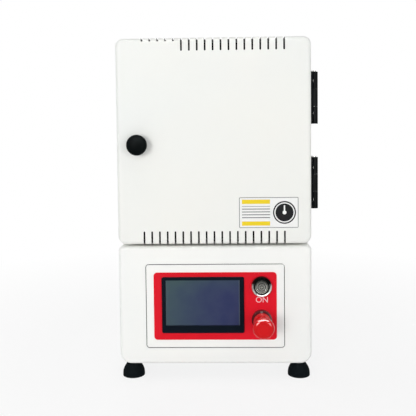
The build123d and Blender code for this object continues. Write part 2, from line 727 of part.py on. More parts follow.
def start_plunger():
    """Metal button face with a turned groove and a centre pip, on its plunger."""
    front = -START_PROUD + START_SUNK
    floor = front + START_GROOVE
    length = BARREL_L - START_TRAVEL - PLUNGER_END
    return turned(
        [
            (0, front),
            (START_DIMPLE_R * START_PIP, front),
            (START_DIMPLE_R * START_PIP_FOOT, floor),
            (START_DIMPLE_R, floor),
            (START_DIMPLE_R + START_GROOVE_EASE, front),
            (START_FACE_R - START_EASE, front),
            (START_FACE_R, front + START_EASE),
            (START_FACE_R, length),
            (0, length),
        ],
        CONTROL_X,
        OVERLAY_FRONT,
        START_Z,
    )


def barrel_nut(z):
    """Hexagonal nut behind the panel plate."""
    hexagon = RegularPolygon(NUT_R, 6) - Circle(BARREL_R + PIN_RUN)
    return push_back(hexagon, CONTROL_X, PANEL_BACK, z, NUT_T)


def contact_block(z):
    """Contact block on the end of a button's barrel, with two terminal recesses."""
    body = push_back(rounded(BLOCK_W, BLOCK_W, BLOCK_R), CONTROL_X, BARREL_END, z, BLOCK_D - 1)
    half = TERMINAL_W / 2
    y0 = BARREL_END + TERMINAL_END
    y1 = BARREL_END + BLOCK_D - TERMINAL_END
    for side in (-1, 1):
        x = CONTROL_X + side * BLOCK_W / 4
        cut_z = z - BLOCK_W / 2
        body -= block(x - half, x + half, y0, y1, cut_z - 1, cut_z + TERMINAL_END)
    return body


# ------------------------------------------------------------------ emergency stop
def estop_collar():
    """Collar and threaded barrel of the stop button."""
    bore = ESTOP_STEM_R + RUN
    return turned(
        [
            (bore, BARREL_L),
            (bore, -ESTOP_COLLAR_T),
            (ESTOP_COLLAR_R - ESTOP_COLLAR_LAND, -ESTOP_COLLAR_T),
            (ESTOP_COLLAR_R - ESTOP_COLLAR_EASE, -ESTOP_COLLAR_T + ESTOP_COLLAR_DROP),
            (ESTOP_COLLAR_R, -ESTOP_COLLAR_T / 2),
            (ESTOP_COLLAR_R, 0),
            (BARREL_R, 0),
            (BARREL_R, BARREL_L),
        ],
        CONTROL_X,
        OVERLAY_FRONT,
        ESTOP_Z,
    )


def estop_shoulder():
    """Where the spindle's thin front end begins."""
    return -ESTOP_PROUD + ESTOP_HEAD_T + ESTOP_TENON_L / 2


def estop_spindle():
    """Sliding spindle of the stop button; its thin front end carries the head."""
    shoulder = estop_shoulder()
    return turned(
        [
            (0, shoulder - ESTOP_TENON_L),
            (ESTOP_TENON_R, shoulder - ESTOP_TENON_L),
            (ESTOP_TENON_R, shoulder),
            (ESTOP_STEM_R, shoulder),
            (ESTOP_STEM_R, BARREL_L - ESTOP_TRAVEL - 1),
            (0, BARREL_L - ESTOP_TRAVEL - 1),
        ],
        CONTROL_X,
        OVERLAY_FRONT,
        ESTOP_Z,
    )


def estop_head():
    """Mushroom head with a waisted neck, bored for the spindle."""
    shoulder = estop_shoulder() - FIT
    bottom = shoulder - ESTOP_TENON_L
    neck_end = -ESTOP_COLLAR_T - ESTOP_TRAVEL - FIT
    rear = -ESTOP_PROUD + ESTOP_HEAD_T
    tip = -ESTOP_PROUD
    bore = ESTOP_TENON_R + PIN_RUN
    stem = ESTOP_STEM_R + PIN_RUN
    rim_rear = (ESTOP_HEAD_R, rear - ESTOP_LIP_R)
    rim_front = (ESTOP_HEAD_R, tip + ESTOP_ROUND_R)
    ring = (ESTOP_HEAD_R - ESTOP_ROUND_R, tip)
    outline = [
        Polyline((0, tip + ESTOP_DISH), (0, bottom), (bore, bottom), (bore, shoulder), (stem, shoulder)),
        Polyline((stem, shoulder), (stem, neck_end), (ESTOP_NECK_END_R, neck_end)),
        ThreePointArc(
            (ESTOP_NECK_END_R, neck_end),
            (ESTOP_NECK_END_R + ESTOP_WAIST, (neck_end + rear) / 2),
            (ESTOP_NECK_R, rear),
        ),
        Line((ESTOP_NECK_R, rear), (ESTOP_HEAD_R - ESTOP_LIP_R, rear)),
        RadiusArc((ESTOP_HEAD_R - ESTOP_LIP_R, rear), rim_rear, ESTOP_LIP_R),
        Line(rim_rear, rim_front),
        RadiusArc(rim_front, ring, ESTOP_ROUND_R),
        dome_arc(ring[0], tip, tip + ESTOP_DISH),
    ]
    return turned_outline(outline, CONTROL_X, OVERLAY_FRONT, ESTOP_Z)


# ------------------------------------------------------------------ door
def slot_cutters():
    """Cutters for both rows of slots; each slot runs over the door's edge onto its side."""
    cutters = []
    for row in (1, -1):
        edge = DOOR_MID + row * DOOR_H / 2
        for i in range(SLOT_COUNT):
            x = SLOT_PITCH * (i - (SLOT_COUNT - 1) / 2)
            is_short = row > 0 and i < SLOT_SHORT_COUNT
            length = SLOT_SHORT_L if is_short else SLOT_L
            overall = 2 * length
            cutter = SlotOverall(overall, SLOT_W, rotation=90)
            cutters.append(push_back(cutter, x, DOOR_FRONT - 1, edge, SLOT_WRAP + 1))
    return cutters


def door_shell():
    """Outer pan of the door with its rows of slots, the knob hole and the hinge screw holes."""
    body = pan(DOOR_W, DOOR_H, DOOR_D, (DOOR_CORNER_R, DOOR_CORNER_R), 0, DOOR_FRONT, DOOR_MID)
    holes = [rod_y(KNOB_BOLT_R + FIT, KNOB_X, DOOR_FRONT - 1, DOOR_FRONT + 2 * SHELL_T, KNOB_Z)]
    half = DOOR_W / 2
    for z in hinge_screw_heights():
        holes.append(rod_x(HINGE_SCREW_R + RUN, half - 2 * SHELL_T, half + 1, hinge_screw_y(), z))
    return body - slot_cutters() - holes


def door_liner():
    """Inner sheet of the door, pressed into a square tray that holds the insulation."""
    width = DOOR_W - 2 * SHELL_T - 2 * FIT
    height = DOOR_H - 2 * SHELL_T - 2 * FIT
    plate = push_back(
        rounded(width, height, DOOR_CORNER_R - SHELL_T), 0, DOOR_BACK - SHELL_T, DOOR_MID, SHELL_T
    )
    inner = DOOR_BLOCK + 2 * CASING_FIT
    outer = inner + 2 * LINER_T
    depth = DOOR_BLOCK_D + CASING_FIT
    tray = push_back(Rectangle(outer, outer), 0, DOOR_BACK - depth - LINER_T, DOOR_MID, depth + LINER_T)
    hollow = push_back(Rectangle(inner, inner), 0, DOOR_BACK - depth, DOOR_MID, depth + 1)
    return plate + tray - hollow


def door_insulation():
    """Insulation block of the door, with the plug that closes the mouth."""
    slab = push_back(Rectangle(DOOR_BLOCK, DOOR_BLOCK), 0, DOOR_BACK - DOOR_BLOCK_D, DOOR_MID, DOOR_BLOCK_D)
    plug = push_back(Rectangle(PLUG_W, PLUG_W), 0, DOOR_BACK, DOOR_MID, DOOR_AIR + PLUG_IN)
    plug = chamfer(edges_at(plug, Axis.Y, PLUG_IN), PLUG_CHAMFER)
    return slab + plug


def door_gasket():
    """Flat rope seal round the plug."""
    outer = GASKET_IN + 2 * GASKET_BAND
    ring = rounded(outer, outer, GASKET_CORNER) - rounded(GASKET_IN, GASKET_IN, GASKET_CORNER_IN)
    return push_back(ring, 0, DOOR_BACK, DOOR_MID, DOOR_AIR - GASKET_GAP)


def door_knob():
    """Mushroom knob, bored for its bolt."""
    bore = KNOB_BOLT_R + PIN_RUN
    head_rear = -(KNOB_H - KNOB_HEAD_T)
    rim = (KNOB_R, head_rear - KNOB_HEAD_T * KNOB_RIM_AT)
    shoulder = (KNOB_R - KNOB_EDGE_R, -KNOB_H + KNOB_CROWN)
    under = (KNOB_R - KNOB_UNDER_R, head_rear)
    outline = [
        Line((bore, 0), (KNOB_FOOT_R, 0)),
        ThreePointArc((KNOB_FOOT_R, 0), (KNOB_NECK_R, head_rear * KNOB_NECK_AT), under),
        RadiusArc(under, rim, KNOB_EDGE_R),
        RadiusArc(rim, shoulder, KNOB_FACE_R),
        dome_arc(shoulder[0], shoulder[1], -KNOB_H),
        Line((0, -KNOB_H), (0, -KNOB_BOLT_L - FIT)),
        Line((0, -KNOB_BOLT_L - FIT), (bore, -KNOB_BOLT_L - FIT)),
        Line((bore, -KNOB_BOLT_L - FIT), (bore, 0)),
    ]
    return turned_outline(outline, KNOB_X, DOOR_FRONT, KNOB_Z)


def knob_bolt():
    """Bolt through the door's skin into the knob, with its washer."""
    back = DOOR_FRONT + SHELL_T
    bolt = rod_y(KNOB_BOLT_R, KNOB_X, DOOR_FRONT - KNOB_BOLT_L, back, KNOB_Z)
    return bolt + rod_y(WASHER_R, KNOB_X, back, back + WASHER_T, KNOB_Z)


def strike_plate():
    """Steel plate on the liner that the magnet holds."""
    x0 = -DOOR_W / 2 + STRIKE_EDGE
    y1 = DOOR_BACK + STRIKE_T
    return block(x0, x0 + STRIKE_W, DOOR_BACK, y1, DOOR_MID - STRIKE_H / 2, DOOR_MID + STRIKE_H / 2)


def catch_magnet():
    """Magnet of the door catch, on the front frame."""
    x0 = -DOOR_W / 2 + STRIKE_EDGE
    y0 = DOOR_BACK + STRIKE_T + GASKET_GAP
    return block(x0, x0 + STRIKE_W, y0, 0, DOOR_MID - STRIKE_H / 2, DOOR_MID + STRIKE_H / 2)


# ------------------------------------------------------------------ hinges
def hinge_heights():
    return {"lower": DOOR_MID - HINGE_SPREAD / 2, "upper": DOOR_MID + HINGE_SPREAD / 2}


def hinge_screw_y():
    """Depth of the screws in a door leaf; the cabinet leaf has them mirrored about the pin."""
    return HINGE_Y - HINGE_LEAF_START - HINGE_LEAF_D / 2


def hinge_screw_heights():
    half = HINGE_SCREW_PITCH / 2
    return [z + side * half for z in hinge_heights().values() for side in (-1, 1)]


def hinge_leaf(seat, toward):
    """One flat leaf lying on the face at x = seat, with the web that joins it to the barrel.
    toward is -1 for the door's leaf and +1 for the cabinet's. Made about z = 0."""
    y0 = HINGE_Y + toward * HINGE_LEAF_START
    middle = y0 + toward * HINGE_LEAF_D / 2
    outline = Plane(origin=(seat, middle, 0), x_dir=(0, 1, 0), z_dir=(1, 0, 0)) * Rectangle(
        HINGE_LEAF_D, HINGE_LEAF_H
    )
    leaf = extrude(outline, amount=HINGE_LEAF_T)
    far = leaf.edges().filter_by(Axis.X).group_by(Axis.Y)[0 if toward < 0 else -1]
    leaf = chamfer(far, HINGE_CORNER)
    holes = [
        rod_x(HINGE_SCREW_R + RUN, seat - 1, seat + HINGE_LEAF_T + 1, middle, side * HINGE_SCREW_PITCH / 2)
        for side in (-1, 1)
    ]
    return leaf - holes


def hinge_web(seat, toward, z0, z1):
    """Curved web from a leaf to its knuckle, with the knuckle itself."""
    y_leaf = HINGE_Y + toward * (HINGE_LEAF_START + HINGE_WEB_IN)
    over = HINGE_BARREL_R * HINGE_WEB_TOP
    aside = HINGE_BARREL_R * HINGE_WEB_SIDE
    outline = Polyline(
        (seat, y_leaf),
        (seat + HINGE_LEAF_T, y_leaf),
        (HINGE_X + over, HINGE_Y + toward * aside),
        (HINGE_X, HINGE_Y),
        (HINGE_X - HINGE_BARREL_R, HINGE_Y + toward * HINGE_WEB_SIDE),
        close=True,
    )
    web = extrude(Plane(origin=(0, 0, z0)) * make_face(outline), amount=z1 - z0)
    return web + rod_z(HINGE_BARREL_R, HINGE_X, HINGE_Y, z0, z1)


def hinge_cabinet_leaf(z):
    """Cabinet side of a hinge: a leaf with an upper and a lower knuckle."""
    gap = HINGE_KNUCKLE / 2 + HINGE_SLACK
    top = HINGE_H / 2
    leaf = hinge_leaf(HALF_W, 1) + hinge_web(HALF_W, 1, gap, top) + hinge_web(HALF_W, 1, -top, -gap)
    leaf -= rod_z(HINGE_PIN_R + PIN_RUN, HINGE_X, HINGE_Y, -top - 1, top + 1)
    return Pos(0, 0, z) * leaf


def hinge_door_leaf(z):
    """Door side of a hinge: a leaf with the middle knuckle."""
    half = HINGE_KNUCKLE / 2
    seat = DOOR_W / 2
    leaf = hinge_leaf(seat, -1) + hinge_web(seat, -1, -half, half)
    leaf -= rod_z(HINGE_PIN_R + PIN_RUN, HINGE_X, HINGE_Y, -half - 1, half + 1)
    return Pos(0, 0, z) * leaf


def hinge_pins():
    """Hinge pins, each with a flat head that rests on the top knuckle."""
    pins = []
    for z in hinge_heights().values():
        top = z + HINGE_H / 2
        pin = rod_z(HINGE_PIN_R, HINGE_X, HINGE_Y, z - HINGE_H / 2, top)
        head = rod_z(HINGE_PIN_R + PIN_HEAD_OVER, HINGE_X, HINGE_Y, top, top + PIN_HEAD_T)
        pins.append(pin + head)
    return pins


def leaf_screw(seat, y, z):
    """A pan-head screw through a hinge leaf."""
    x = seat + HINGE_LEAF_T
    head = rod_x(SCREW_HEAD_R, x, x + SCREW_HEAD_T, y, z)
    head = fillet(edges_at(head, Axis.X, x + SCREW_HEAD_T), SCREW_HEAD_T / 3)
    return head + rod_x(HINGE_SCREW_R, x - SCREW_L, x, y, z)


def hinge_door_screws():
    return [leaf_screw(DOOR_W / 2, hinge_screw_y(), z) for z in hinge_screw_heights()]


def hinge_cabinet_screws():
    y = 2 * HINGE_Y - hinge_screw_y()
    return [leaf_screw(HALF_W, y, z) for z in hinge_screw_heights()]


# ------------------------------------------------------------------ heating chamber
def inner_casing():
    """Sheet box round the insulation, open at the front."""
    z0 = DOOR_MID - CASING_HALF_H
    z1 = DOOR_MID + CASING_HALF_H
    box = block(-CASING_HALF, CASING_HALF, COLLAR_FRONT, CASING_BACK, z0, z1)
    w = CASING_HALF - CASING_T
    box -= block(-w, w, COLLAR_FRONT - 1, CASING_BACK - CASING_T, z0 + CASING_T, z1 - CASING_T)
    cuts = [rod_y(WIRE_R + RUN, x, BOARD_BACK, CASING_BACK + 1, z) for x, z in tail_places()]
    cuts.append(rod_y(PROBE_R + RUN, PROBE_X, BOARD_BACK, CASING_BACK + 1, PROBE_Z))
    cuts.append(rod_y(FLUE_R + RUN, FLUE_X, BOARD_BACK, CASING_BACK + 1, PROBE_Z))
    return box - cuts


def board_floor():
    half = CHAMBER_W / 2 + BOARD_T
    top = DOOR_MID - CHAMBER_H / 2
    return block(-half, half, COLLAR_BACK, CHAMBER_BACK, top - BOARD_T, top)


def board_roof():
    half = CHAMBER_W / 2 + BOARD_T
    bottom = DOOR_MID + CHAMBER_H / 2
    return block(-half, half, COLLAR_BACK, CHAMBER_BACK, bottom, bottom + BOARD_T)


def board_right():
    """Side board with the groove that holds the heating wire."""
    x0 = CHAMBER_W / 2
    half = CHAMBER_H / 2
    side = block(x0, x0 + BOARD_T, COLLAR_BACK, CHAMBER_BACK, DOOR_MID - half, DOOR_MID + half)
    return side - wire(WIRE_R + GROOVE_CLEAR)


def board_left():
    return mirrored(board_right())


def board_rear():
    """Rear board, drilled for the wire tails, the thermocouple and the flue."""
    half = CHAMBER_W / 2 + BOARD_T
    half_h = CHAMBER_H / 2 + BOARD_T
    board = block(-half, half, CHAMBER_BACK, BOARD_BACK, DOOR_MID - half_h, DOOR_MID + half_h)
    y0 = CHAMBER_BACK - 1
    y1 = BOARD_BACK + 1
    cuts = [rod_y(WIRE_R + GROOVE_CLEAR, x, y0, y1, z) for x, z in tail_places()]
    cuts.append(rod_y(PROBE_R + RUN, PROBE_X, y0, y1, PROBE_Z))
    cuts.append(rod_y(FLUE_R + RUN, FLUE_X, y0, y1, PROBE_Z))
    return board - cuts


def mouth_collar():
    """Four bars of fibre that frame the mouth."""
    half = CHAMBER_W / 2 + BOARD_T
    half_h = CHAMBER_H / 2 + BOARD_T
    m = MOUTH_W / 2
    y0 = COLLAR_FRONT
    y1 = COLLAR_BACK
    return [
        block(-half, half, y0, y1, DOOR_MID + m, DOOR_MID + half_h),
        block(-half, half, y0, y1, DOOR_MID - half_h, DOOR_MID - m),
        block(-half, -m, y0, y1, DOOR_MID - m, DOOR_MID + m),
        block(m, half, y0, y1, DOOR_MID - m, DOOR_MID + m),
    ]


def hearth_plate():
    """Ceramic hearth with long grooves in its top."""
    z0 = DOOR_MID - CHAMBER_H / 2
    y0 = COLLAR_BACK + HEARTH_END
    y1 = CHAMBER_BACK - HEARTH_END
    plate = block(-HEARTH_W / 2, HEARTH_W / 2, y0, y1, z0, z0 + HEARTH_T)
    top = z0 + HEARTH_T
    floor = top - HEARTH_GROOVE_DEEP
    plate = chamfer(plate.edges().group_by(Axis.Z)[-1], HEARTH_GROOVE_DEEP)
    step = HEARTH_W / HEARTH_RIBS
    start = y0 + HEARTH_GROOVE_END
    end = y1 - HEARTH_GROOVE_END
    for i in range(HEARTH_RIBS):
        x = step * (i - (HEARTH_RIBS - 1) / 2)
        plate -= block(x - HEARTH_RIB, x + HEARTH_RIB, start, end, floor, top + 1)
    return plate


def wire_heights():
    lowest = DOOR_MID - WIRE_PITCH * (WIRE_RUNS - 1) / 2
    return [lowest + WIRE_PITCH * i for i in range(WIRE_RUNS)]


def tail_places():
    """Where the four wire tails pass through the rear of the chamber."""
    x = CHAMBER_W / 2 + WIRE_SUNK
    heights = wire_heights()
    return [(side * x, z) for side in (-1, 1) for z in (heights[0], heights[-1])]


def wire(radius):
    """Meander along the right-hand wall, with both tails running out at the rear."""
    x = CHAMBER_W / 2 + WIRE_SUNK
    front = COLLAR_BACK + WIRE_END
    rear = CHAMBER_BACK - WIRE_END
    tail = CASING_BACK + BUSH_L + TAIL_OVER
    points = []
    for i, z in enumerate(wire_heights()):
        start = tail if i == 0 else rear
        stop = tail if i == WIRE_RUNS - 1 else rear
        pair = [(x, start, z), (x, front, z)] if i % 2 == 0 else [(x, front, z), (x, stop, z)]
        points += pair
    path = FilletPolyline(*points, radius=WIRE_BEND_R)
    return sweep(Plane(origin=path @ 0, z_dir=path % 0) * Circle(radius), path=path)


def element_right():
    return wire(WIRE_R)


def element_left():
    return mirrored(wire(WIRE_R))


def element_bushes():
    """Ceramic bushes round the wire tails, seated on the back of the casing."""
    bushes = []
    for x, z in tail_places():
        tube = Circle(BUSH_R) - Circle(WIRE_R + RUN)
        bushes.append(push_back(tube, x, CASING_BACK, z, BUSH_L))
    return bushes


def thermocouple_sheath():
    """Closed ceramic sheath with a round tip."""
    tip = CHAMBER_BACK - PROBE_IN
    back = CASING_BACK + BUSH_L
    rod = rod_y(PROBE_R, PROBE_X, tip, back, PROBE_Z)
    return fillet(edges_at(rod, Axis.Y, tip), PROBE_R - PROBE_TIP_FLAT)


def thermocouple_head():
    """Terminal head of the thermocouple, seated on the casing and round the sheath."""
    return turned(
        [
            (PROBE_R + RUN, 0),
            (PROBE_HEAD_R, 0),
            (PROBE_HEAD_R, PROBE_FOOT_T),
            (PROBE_R + PROBE_NECK, PROBE_FOOT_T + PROBE_SKIRT),
            (PROBE_R + PROBE_NECK, BUSH_L),
            (PROBE_HEAD_R, BUSH_L + 1),
            (PROBE_HEAD_R, BUSH_L + PROBE_HEAD_L),
            (0, BUSH_L + PROBE_HEAD_L),
            (0, BUSH_L + FIT),
            (PROBE_R + RUN, BUSH_L + FIT),
        ],
        PROBE_X,
        CASING_BACK,
        PROBE_Z,
    )


def flue_tube():
    """Ceramic vent tube from the chamber out through the rear cover."""
    ring = Circle(FLUE_R) - Circle(FLUE_BORE_R)
    return push_back(ring, FLUE_X, CHAMBER_BACK, PROBE_Z, CABINET_D + FLUE_PROUD - CHAMBER_BACK)


def flue_flange():
    """Plate round the vent tube on the rear cover."""
    ring = Circle(FLUE_FLANGE_R) - Circle(FLUE_R + RUN)
    return push_back(ring, FLUE_X, CABINET_D, PROBE_Z, FLUE_FLANGE_T)


# ------------------------------------------------------------------ electrics bay
def fan_frame():
    """Square frame of the cooling fan, with its motor plate on four arms and its shaft."""
    y0 = FAN_BACK - FAN_D
    outline = rounded(FAN_W, FAN_W, FAN_CORNER) - Circle(FAN_BORE_R)
    frame = push_back(outline, FAN_X, y0, FAN_Z, FAN_D)
    motor_y = FAN_BACK - FAN_MOTOR_D
    arms = Rectangle(2 * FAN_BORE_R + 1, FAN_SPIDER) + Rectangle(FAN_SPIDER, 2 * FAN_BORE_R + 1)
    arms += Circle(FAN_HUB_R)
    frame += push_back(arms, FAN_X, FAN_BACK - FAN_MOTOR_D / 2, FAN_Z, FAN_MOTOR_D / 2)
    frame += push_back(Circle(FAN_HUB_R), FAN_X, motor_y, FAN_Z, FAN_MOTOR_D)
    frame += rod_y(FAN_SHAFT_R, FAN_X, y0 + FAN_SHAFT_IN, motor_y + 1, FAN_Z)
    half = FAN_W / 2 - FAN_HOLE_IN
    holes = []
    for dx in (-half, half):
        for dz in (-half, half):
            holes.append(rod_y(FAN_HOLE_R, FAN_X + dx, y0 - 1, FAN_BACK + 1, FAN_Z + dz))
    return frame - holes


def fan_rotor():
    """Fan wheel: a hub with a shaft bore and pitched blades."""
    y0 = FAN_BACK - FAN_D + 1
    y1 = FAN_BACK - FAN_MOTOR_D - RUN
    hub = rod_y(FAN_HUB_R, FAN_X, y0, y1, FAN_Z)
    depth = y1 - y0 - 2
    reach = FAN_BORE_R - FAN_TIP_GAP
    middle = (y0 + y1) / 2
    wheel = hub
    for i in range(FAN_BLADES):
        root = Rectangle(BLADE_ROOT_T, depth, rotation=BLADE_ROOT_PITCH)
        tip = Rectangle(BLADE_TIP_T, depth * BLADE_SPREAD, rotation=BLADE_TIP_PITCH)
        root = Plane(origin=(0, 0, FAN_HUB_R - BLADE_ROOT_IN)) * root
        tip = Plane(origin=(0, 0, reach)) * tip
        blade = loft([root, tip]) & rod_y(reach, 0, -depth / 2, depth / 2, 0)
        wheel += Pos(FAN_X, middle, FAN_Z) * Rot(0, 360 / FAN_BLADES * i, 0) * blade
    wheel -= rod_y(FAN_SHAFT_R + PIN_RUN, FAN_X, y0 + FAN_SHAFT_IN - 1 - FIT, y1 + 1, FAN_Z)
    return wheel


def fan_guard():
    """Wire guard of the fan: rings on four spokes."""
    spokes = Rectangle(FAN_W, GUARD_RING_T) + Rectangle(GUARD_RING_T, FAN_W)
    guard = push_back(Rot(0, 0, 45) * spokes, FAN_X, CABINET_D, FAN_Z, GUARD_RING_T)
    step = FAN_BORE_R / GUARD_RINGS
    for i in range(1, GUARD_RINGS + 1):
        radius = step * i
        ring = Circle(radius + GUARD_RING_T / 2) - Circle(radius - GUARD_RING_T / 2)
        guard += push_back(ring, FAN_X, CABINET_D, FAN_Z, GUARD_RING_T)
    return guard


def cable_gland():
    """Gland at the mains inlet: hexagon, domed nut and threaded neck through the cover."""
    body = push_back(RegularPolygon(GLAND_NUT_R, 6), GLAND_X, CABINET_D, GLAND_Z, GLAND_NUT_T)
    dome = rod_y(GLAND_R, GLAND_X, CABINET_D + GLAND_NUT_T, CABINET_D + GLAND_PROUD, GLAND_Z)
    dome = fillet(edges_at(dome, Axis.Y, CABINET_D + GLAND_PROUD), GLAND_ROUND)
    body += dome
    body += rod_y(GLAND_NECK_R, GLAND_X, COVER_FRONT - GLAND_IN, CABINET_D, GLAND_Z)
    bore_end = CABINET_D + GLAND_PROUD + 1
    return body - rod_y(GLAND_BORE_R, GLAND_X, COVER_FRONT - GLAND_IN - 1, bore_end, GLAND_Z)


def gland_nut():
    """Lock nut of the gland inside the cover."""
    nut = RegularPolygon(GLAND_NUT_R, 6) - Circle(GLAND_NECK_R + PIN_RUN)
    return push_back(nut, GLAND_X, COVER_FRONT - GLAND_NUT_T, GLAND_Z, GLAND_NUT_T)


def heat_sink():
    """Finned sink, fins down on the tray, flat side up."""
    z0 = TRAY_TOP
    y0 = SINK_Y - SINK_D / 2
    body = Pos(0, SINK_H / 2 - SINK_BASE / 2) * Rectangle(SINK_W, SINK_BASE)
    step = (SINK_W - SINK_FIN_T) / (SINK_FINS - 1)
    for i in range(SINK_FINS):
        body += Pos(-SINK_W / 2 + SINK_FIN_T / 2 + step * i, 0) * Rectangle(SINK_FIN_T, SINK_H)
    return push_back(body, SINK_X, y0, z0 + SINK_H / 2, SINK_D)


def stepped_block(x, y, z, width, length, height, step_length, step_height):
    """A block whose two ends are cut down to a step for its terminals."""
    body = block(x - width / 2, x + width / 2, y - length / 2, y + length / 2, z, z + height)
    for side in (-1, 1):
        end = y + side * length / 2
        y0, y1 = sorted((end - side * step_length, end + side))
        body -= block(x - width, x + width, y0, y1, z + step_height, z + height + 1)
    return body


def solid_state_relay():
    """Relay on the sink, stepped at its terminals."""
    z0 = TRAY_TOP + SINK_H
    step = (RELAY_D * RELAY_STEP, RELAY_H * RELAY_STEP_H)
    return stepped_block(SINK_X, SINK_Y, z0, RELAY_W, RELAY_D, RELAY_H, *step)


def power_supply():
    """Boxed supply with a row of cooling slots in its lid."""
    top = TRAY_TOP + SUPPLY_H
    x0 = SUPPLY_X - SUPPLY_W / 2
    y0 = SUPPLY_Y - SUPPLY_D / 2
    body = block(x0, x0 + SUPPLY_W, y0, y0 + SUPPLY_D, TRAY_TOP, top)
    body = chamfer(body.edges().group_by(Axis.Z)[-1], SUPPLY_CHAMFER)
    pitch = SUPPLY_D / (SUPPLY_SLOTS + 2)
    half = SUPPLY_W * SUPPLY_SLOT_L / 2
    wide = pitch * SUPPLY_SLOT_W / 2
    groove = top - SUPPLY_SLOT_DEEP
    for i in range(SUPPLY_SLOTS):
        y = SUPPLY_Y + pitch * (i - (SUPPLY_SLOTS - 1) / 2)
        body -= block(SUPPLY_X - half, SUPPLY_X + half, y - wide, y + wide, groove, top + 1)
    return body


def mounting_rail():
    """Top-hat rail for the contactor, on the tray."""
    t = RAIL35_T
    hat = Pos(0, t / 2) * Rectangle(RAIL35_CROWN, t)
    for side in (-1, 1):
        hat += Pos(side * (RAIL35_CROWN - t) / 2, RAIL35_D / 2) * Rectangle(t, RAIL35_D)
        wing = (RAIL35_H - RAIL35_CROWN) / 2 + t
        hat += Pos(side * (RAIL35_H - wing) / 2, RAIL35_D - t / 2) * Rectangle(wing, t)
    start = (CONTACTOR_X - RAIL35_L / 2, CONTACTOR_Y, TRAY_TOP)
    return extrude(Plane(origin=start, x_dir=(0, 1, 0), z_dir=(1, 0, 0)) * hat, amount=RAIL35_L)


def contactor():
    """Contactor on the rail, stepped at its terminals."""
    z0 = TRAY_TOP + RAIL35_D
    step = (CONTACTOR_H * CONTACTOR_STEP, CONTACTOR_D * CONTACTOR_STEP_H)
    return stepped_block(CONTACTOR_X, CONTACTOR_Y, z0, CONTACTOR_W, CONTACTOR_H, CONTACTOR_D, *step)


# ------------------------------------------------------------------ the furnace
def furnace():
    """Every piece by name, in build coordinates."""
    heights = hinge_heights().values()
    pieces = {
        "outer_shell": outer_shell(),
        "base_tray": base_tray(),
        "front_frame": front_frame(),
        "rear_cover": rear_cover(),
        "rear_cover_screws": rear_cover_screws(),
        "deck": deck(),
        "casing_rails": casing_rails(),
        "feet": feet(),
        "foot_screws": foot_screws(),
        "fascia": fascia(),
        "panel_plate": panel_plate(),
        "front_overlay": front_overlay(),
        "screen_bezel": screen_bezel(),
        "screen_glass": screen_glass(),
        "screen_housing": screen_housing(),
        "start_bezel": start_bezel(),
        "start_plunger": start_plunger(),
        "estop_collar": estop_collar(),
        "estop_spindle": estop_spindle(),
        "estop_head": estop_head(),
        "panel_nuts": [barrel_nut(z) for z in (START_Z, ESTOP_Z)],
        "contact_blocks": [contact_block(z) for z in (START_Z, ESTOP_Z)],
        "door_shell": door_shell(),
        "door_liner": door_liner(),
        "door_insulation": door_insulation(),
        "door_gasket": door_gasket(),
        "door_knob": door_knob(),
        "knob_bolt": knob_bolt(),
        "strike_plate": strike_plate(),
        "catch_magnet": catch_magnet(),
        "hinge_cabinet_leaves": [hinge_cabinet_leaf(z) for z in heights],
        "hinge_door_leaves": [hinge_door_leaf(z) for z in heights],
        "hinge_pins": hinge_pins(),
        "hinge_door_screws": hinge_door_screws(),
        "hinge_cabinet_screws": hinge_cabinet_screws(),
        "inner_casing": inner_casing(),
        "board_floor": board_floor(),
        "board_roof": board_roof(),
        "board_left": board_left(),
        "board_right": board_right(),
        "board_rear": board_rear(),
        "mouth_collar": mouth_collar(),
        "hearth_plate": hearth_plate(),
        "element_left": element_left(),
        "element_right": element_right(),
        "element_bushes": element_bushes(),
        "thermocouple_sheath": thermocouple_sheath(),
        "thermocouple_head": thermocouple_head(),
        "flue_tube": flue_tube(),
        "flue_flange": flue_flange(),
        "fan_frame": fan_frame(),
        "fan_rotor": fan_rotor(),
        "fan_guard": fan_guard(),
        "cable_gland": cable_gland(),
        "gland_nut": gland_nut(),
        "heat_sink": heat_sink(),
        "solid_state_relay": solid_state_relay(),
        "power_supply": power_supply(),
        "mounting_rail": mounting_rail(),
        "contactor": contactor(),
    }
    return pieces


def as_compound(piece):
    """One compound for a piece, whether it is one solid or a group of like solids."""
    if isinstance(piece, list):
        return Compound(children=[s for item in piece for s in item.solids()])
    return Compound(children=list(piece.solids()))


def export_all():
    """Write one STEP file per piece, moved so that the origin is at the base's middle."""
    os.makedirs("parts", exist_ok=True)
    pieces = {name: as_compound(piece) for name, piece in furnace().items()}
    boxes = [piece.bounding_box() for piece in pieces.values()]
    mid_x = (min(b.min.X for b in boxes) + max(b.max.X for b in boxes)) / 2
    mid_y = (min(b.min.Y for b in boxes) + max(b.max.Y for b in boxes)) / 2
    for name, piece in pieces.items():
        export_step(Pos(-mid_x, -mid_y, 0) * piece, f"parts/{name}.step")
    print(f"{len(pieces)} pieces, moved by {-mid_x:.4f}, {-mid_y:.4f}")


export_all()
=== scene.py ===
# %% [markdown]
# # A bench muffle furnace
#
# A muffle furnace is a small laboratory kiln: a fibre-lined chamber behind a thick white door,
# with its electrics and its controls in a bay underneath. The solid model already holds every
# piece at its real size. This lesson gives each piece its finish, and remakes the small
# repeated things, such as screws, heating coils and the woven door seal, with Geometry Nodes.
#
# We load the solid model first. Nothing may grow beyond it.

# %% Load the solid model
import json
import math
import bmesh
import bpy
from mathutils import Matrix, Vector

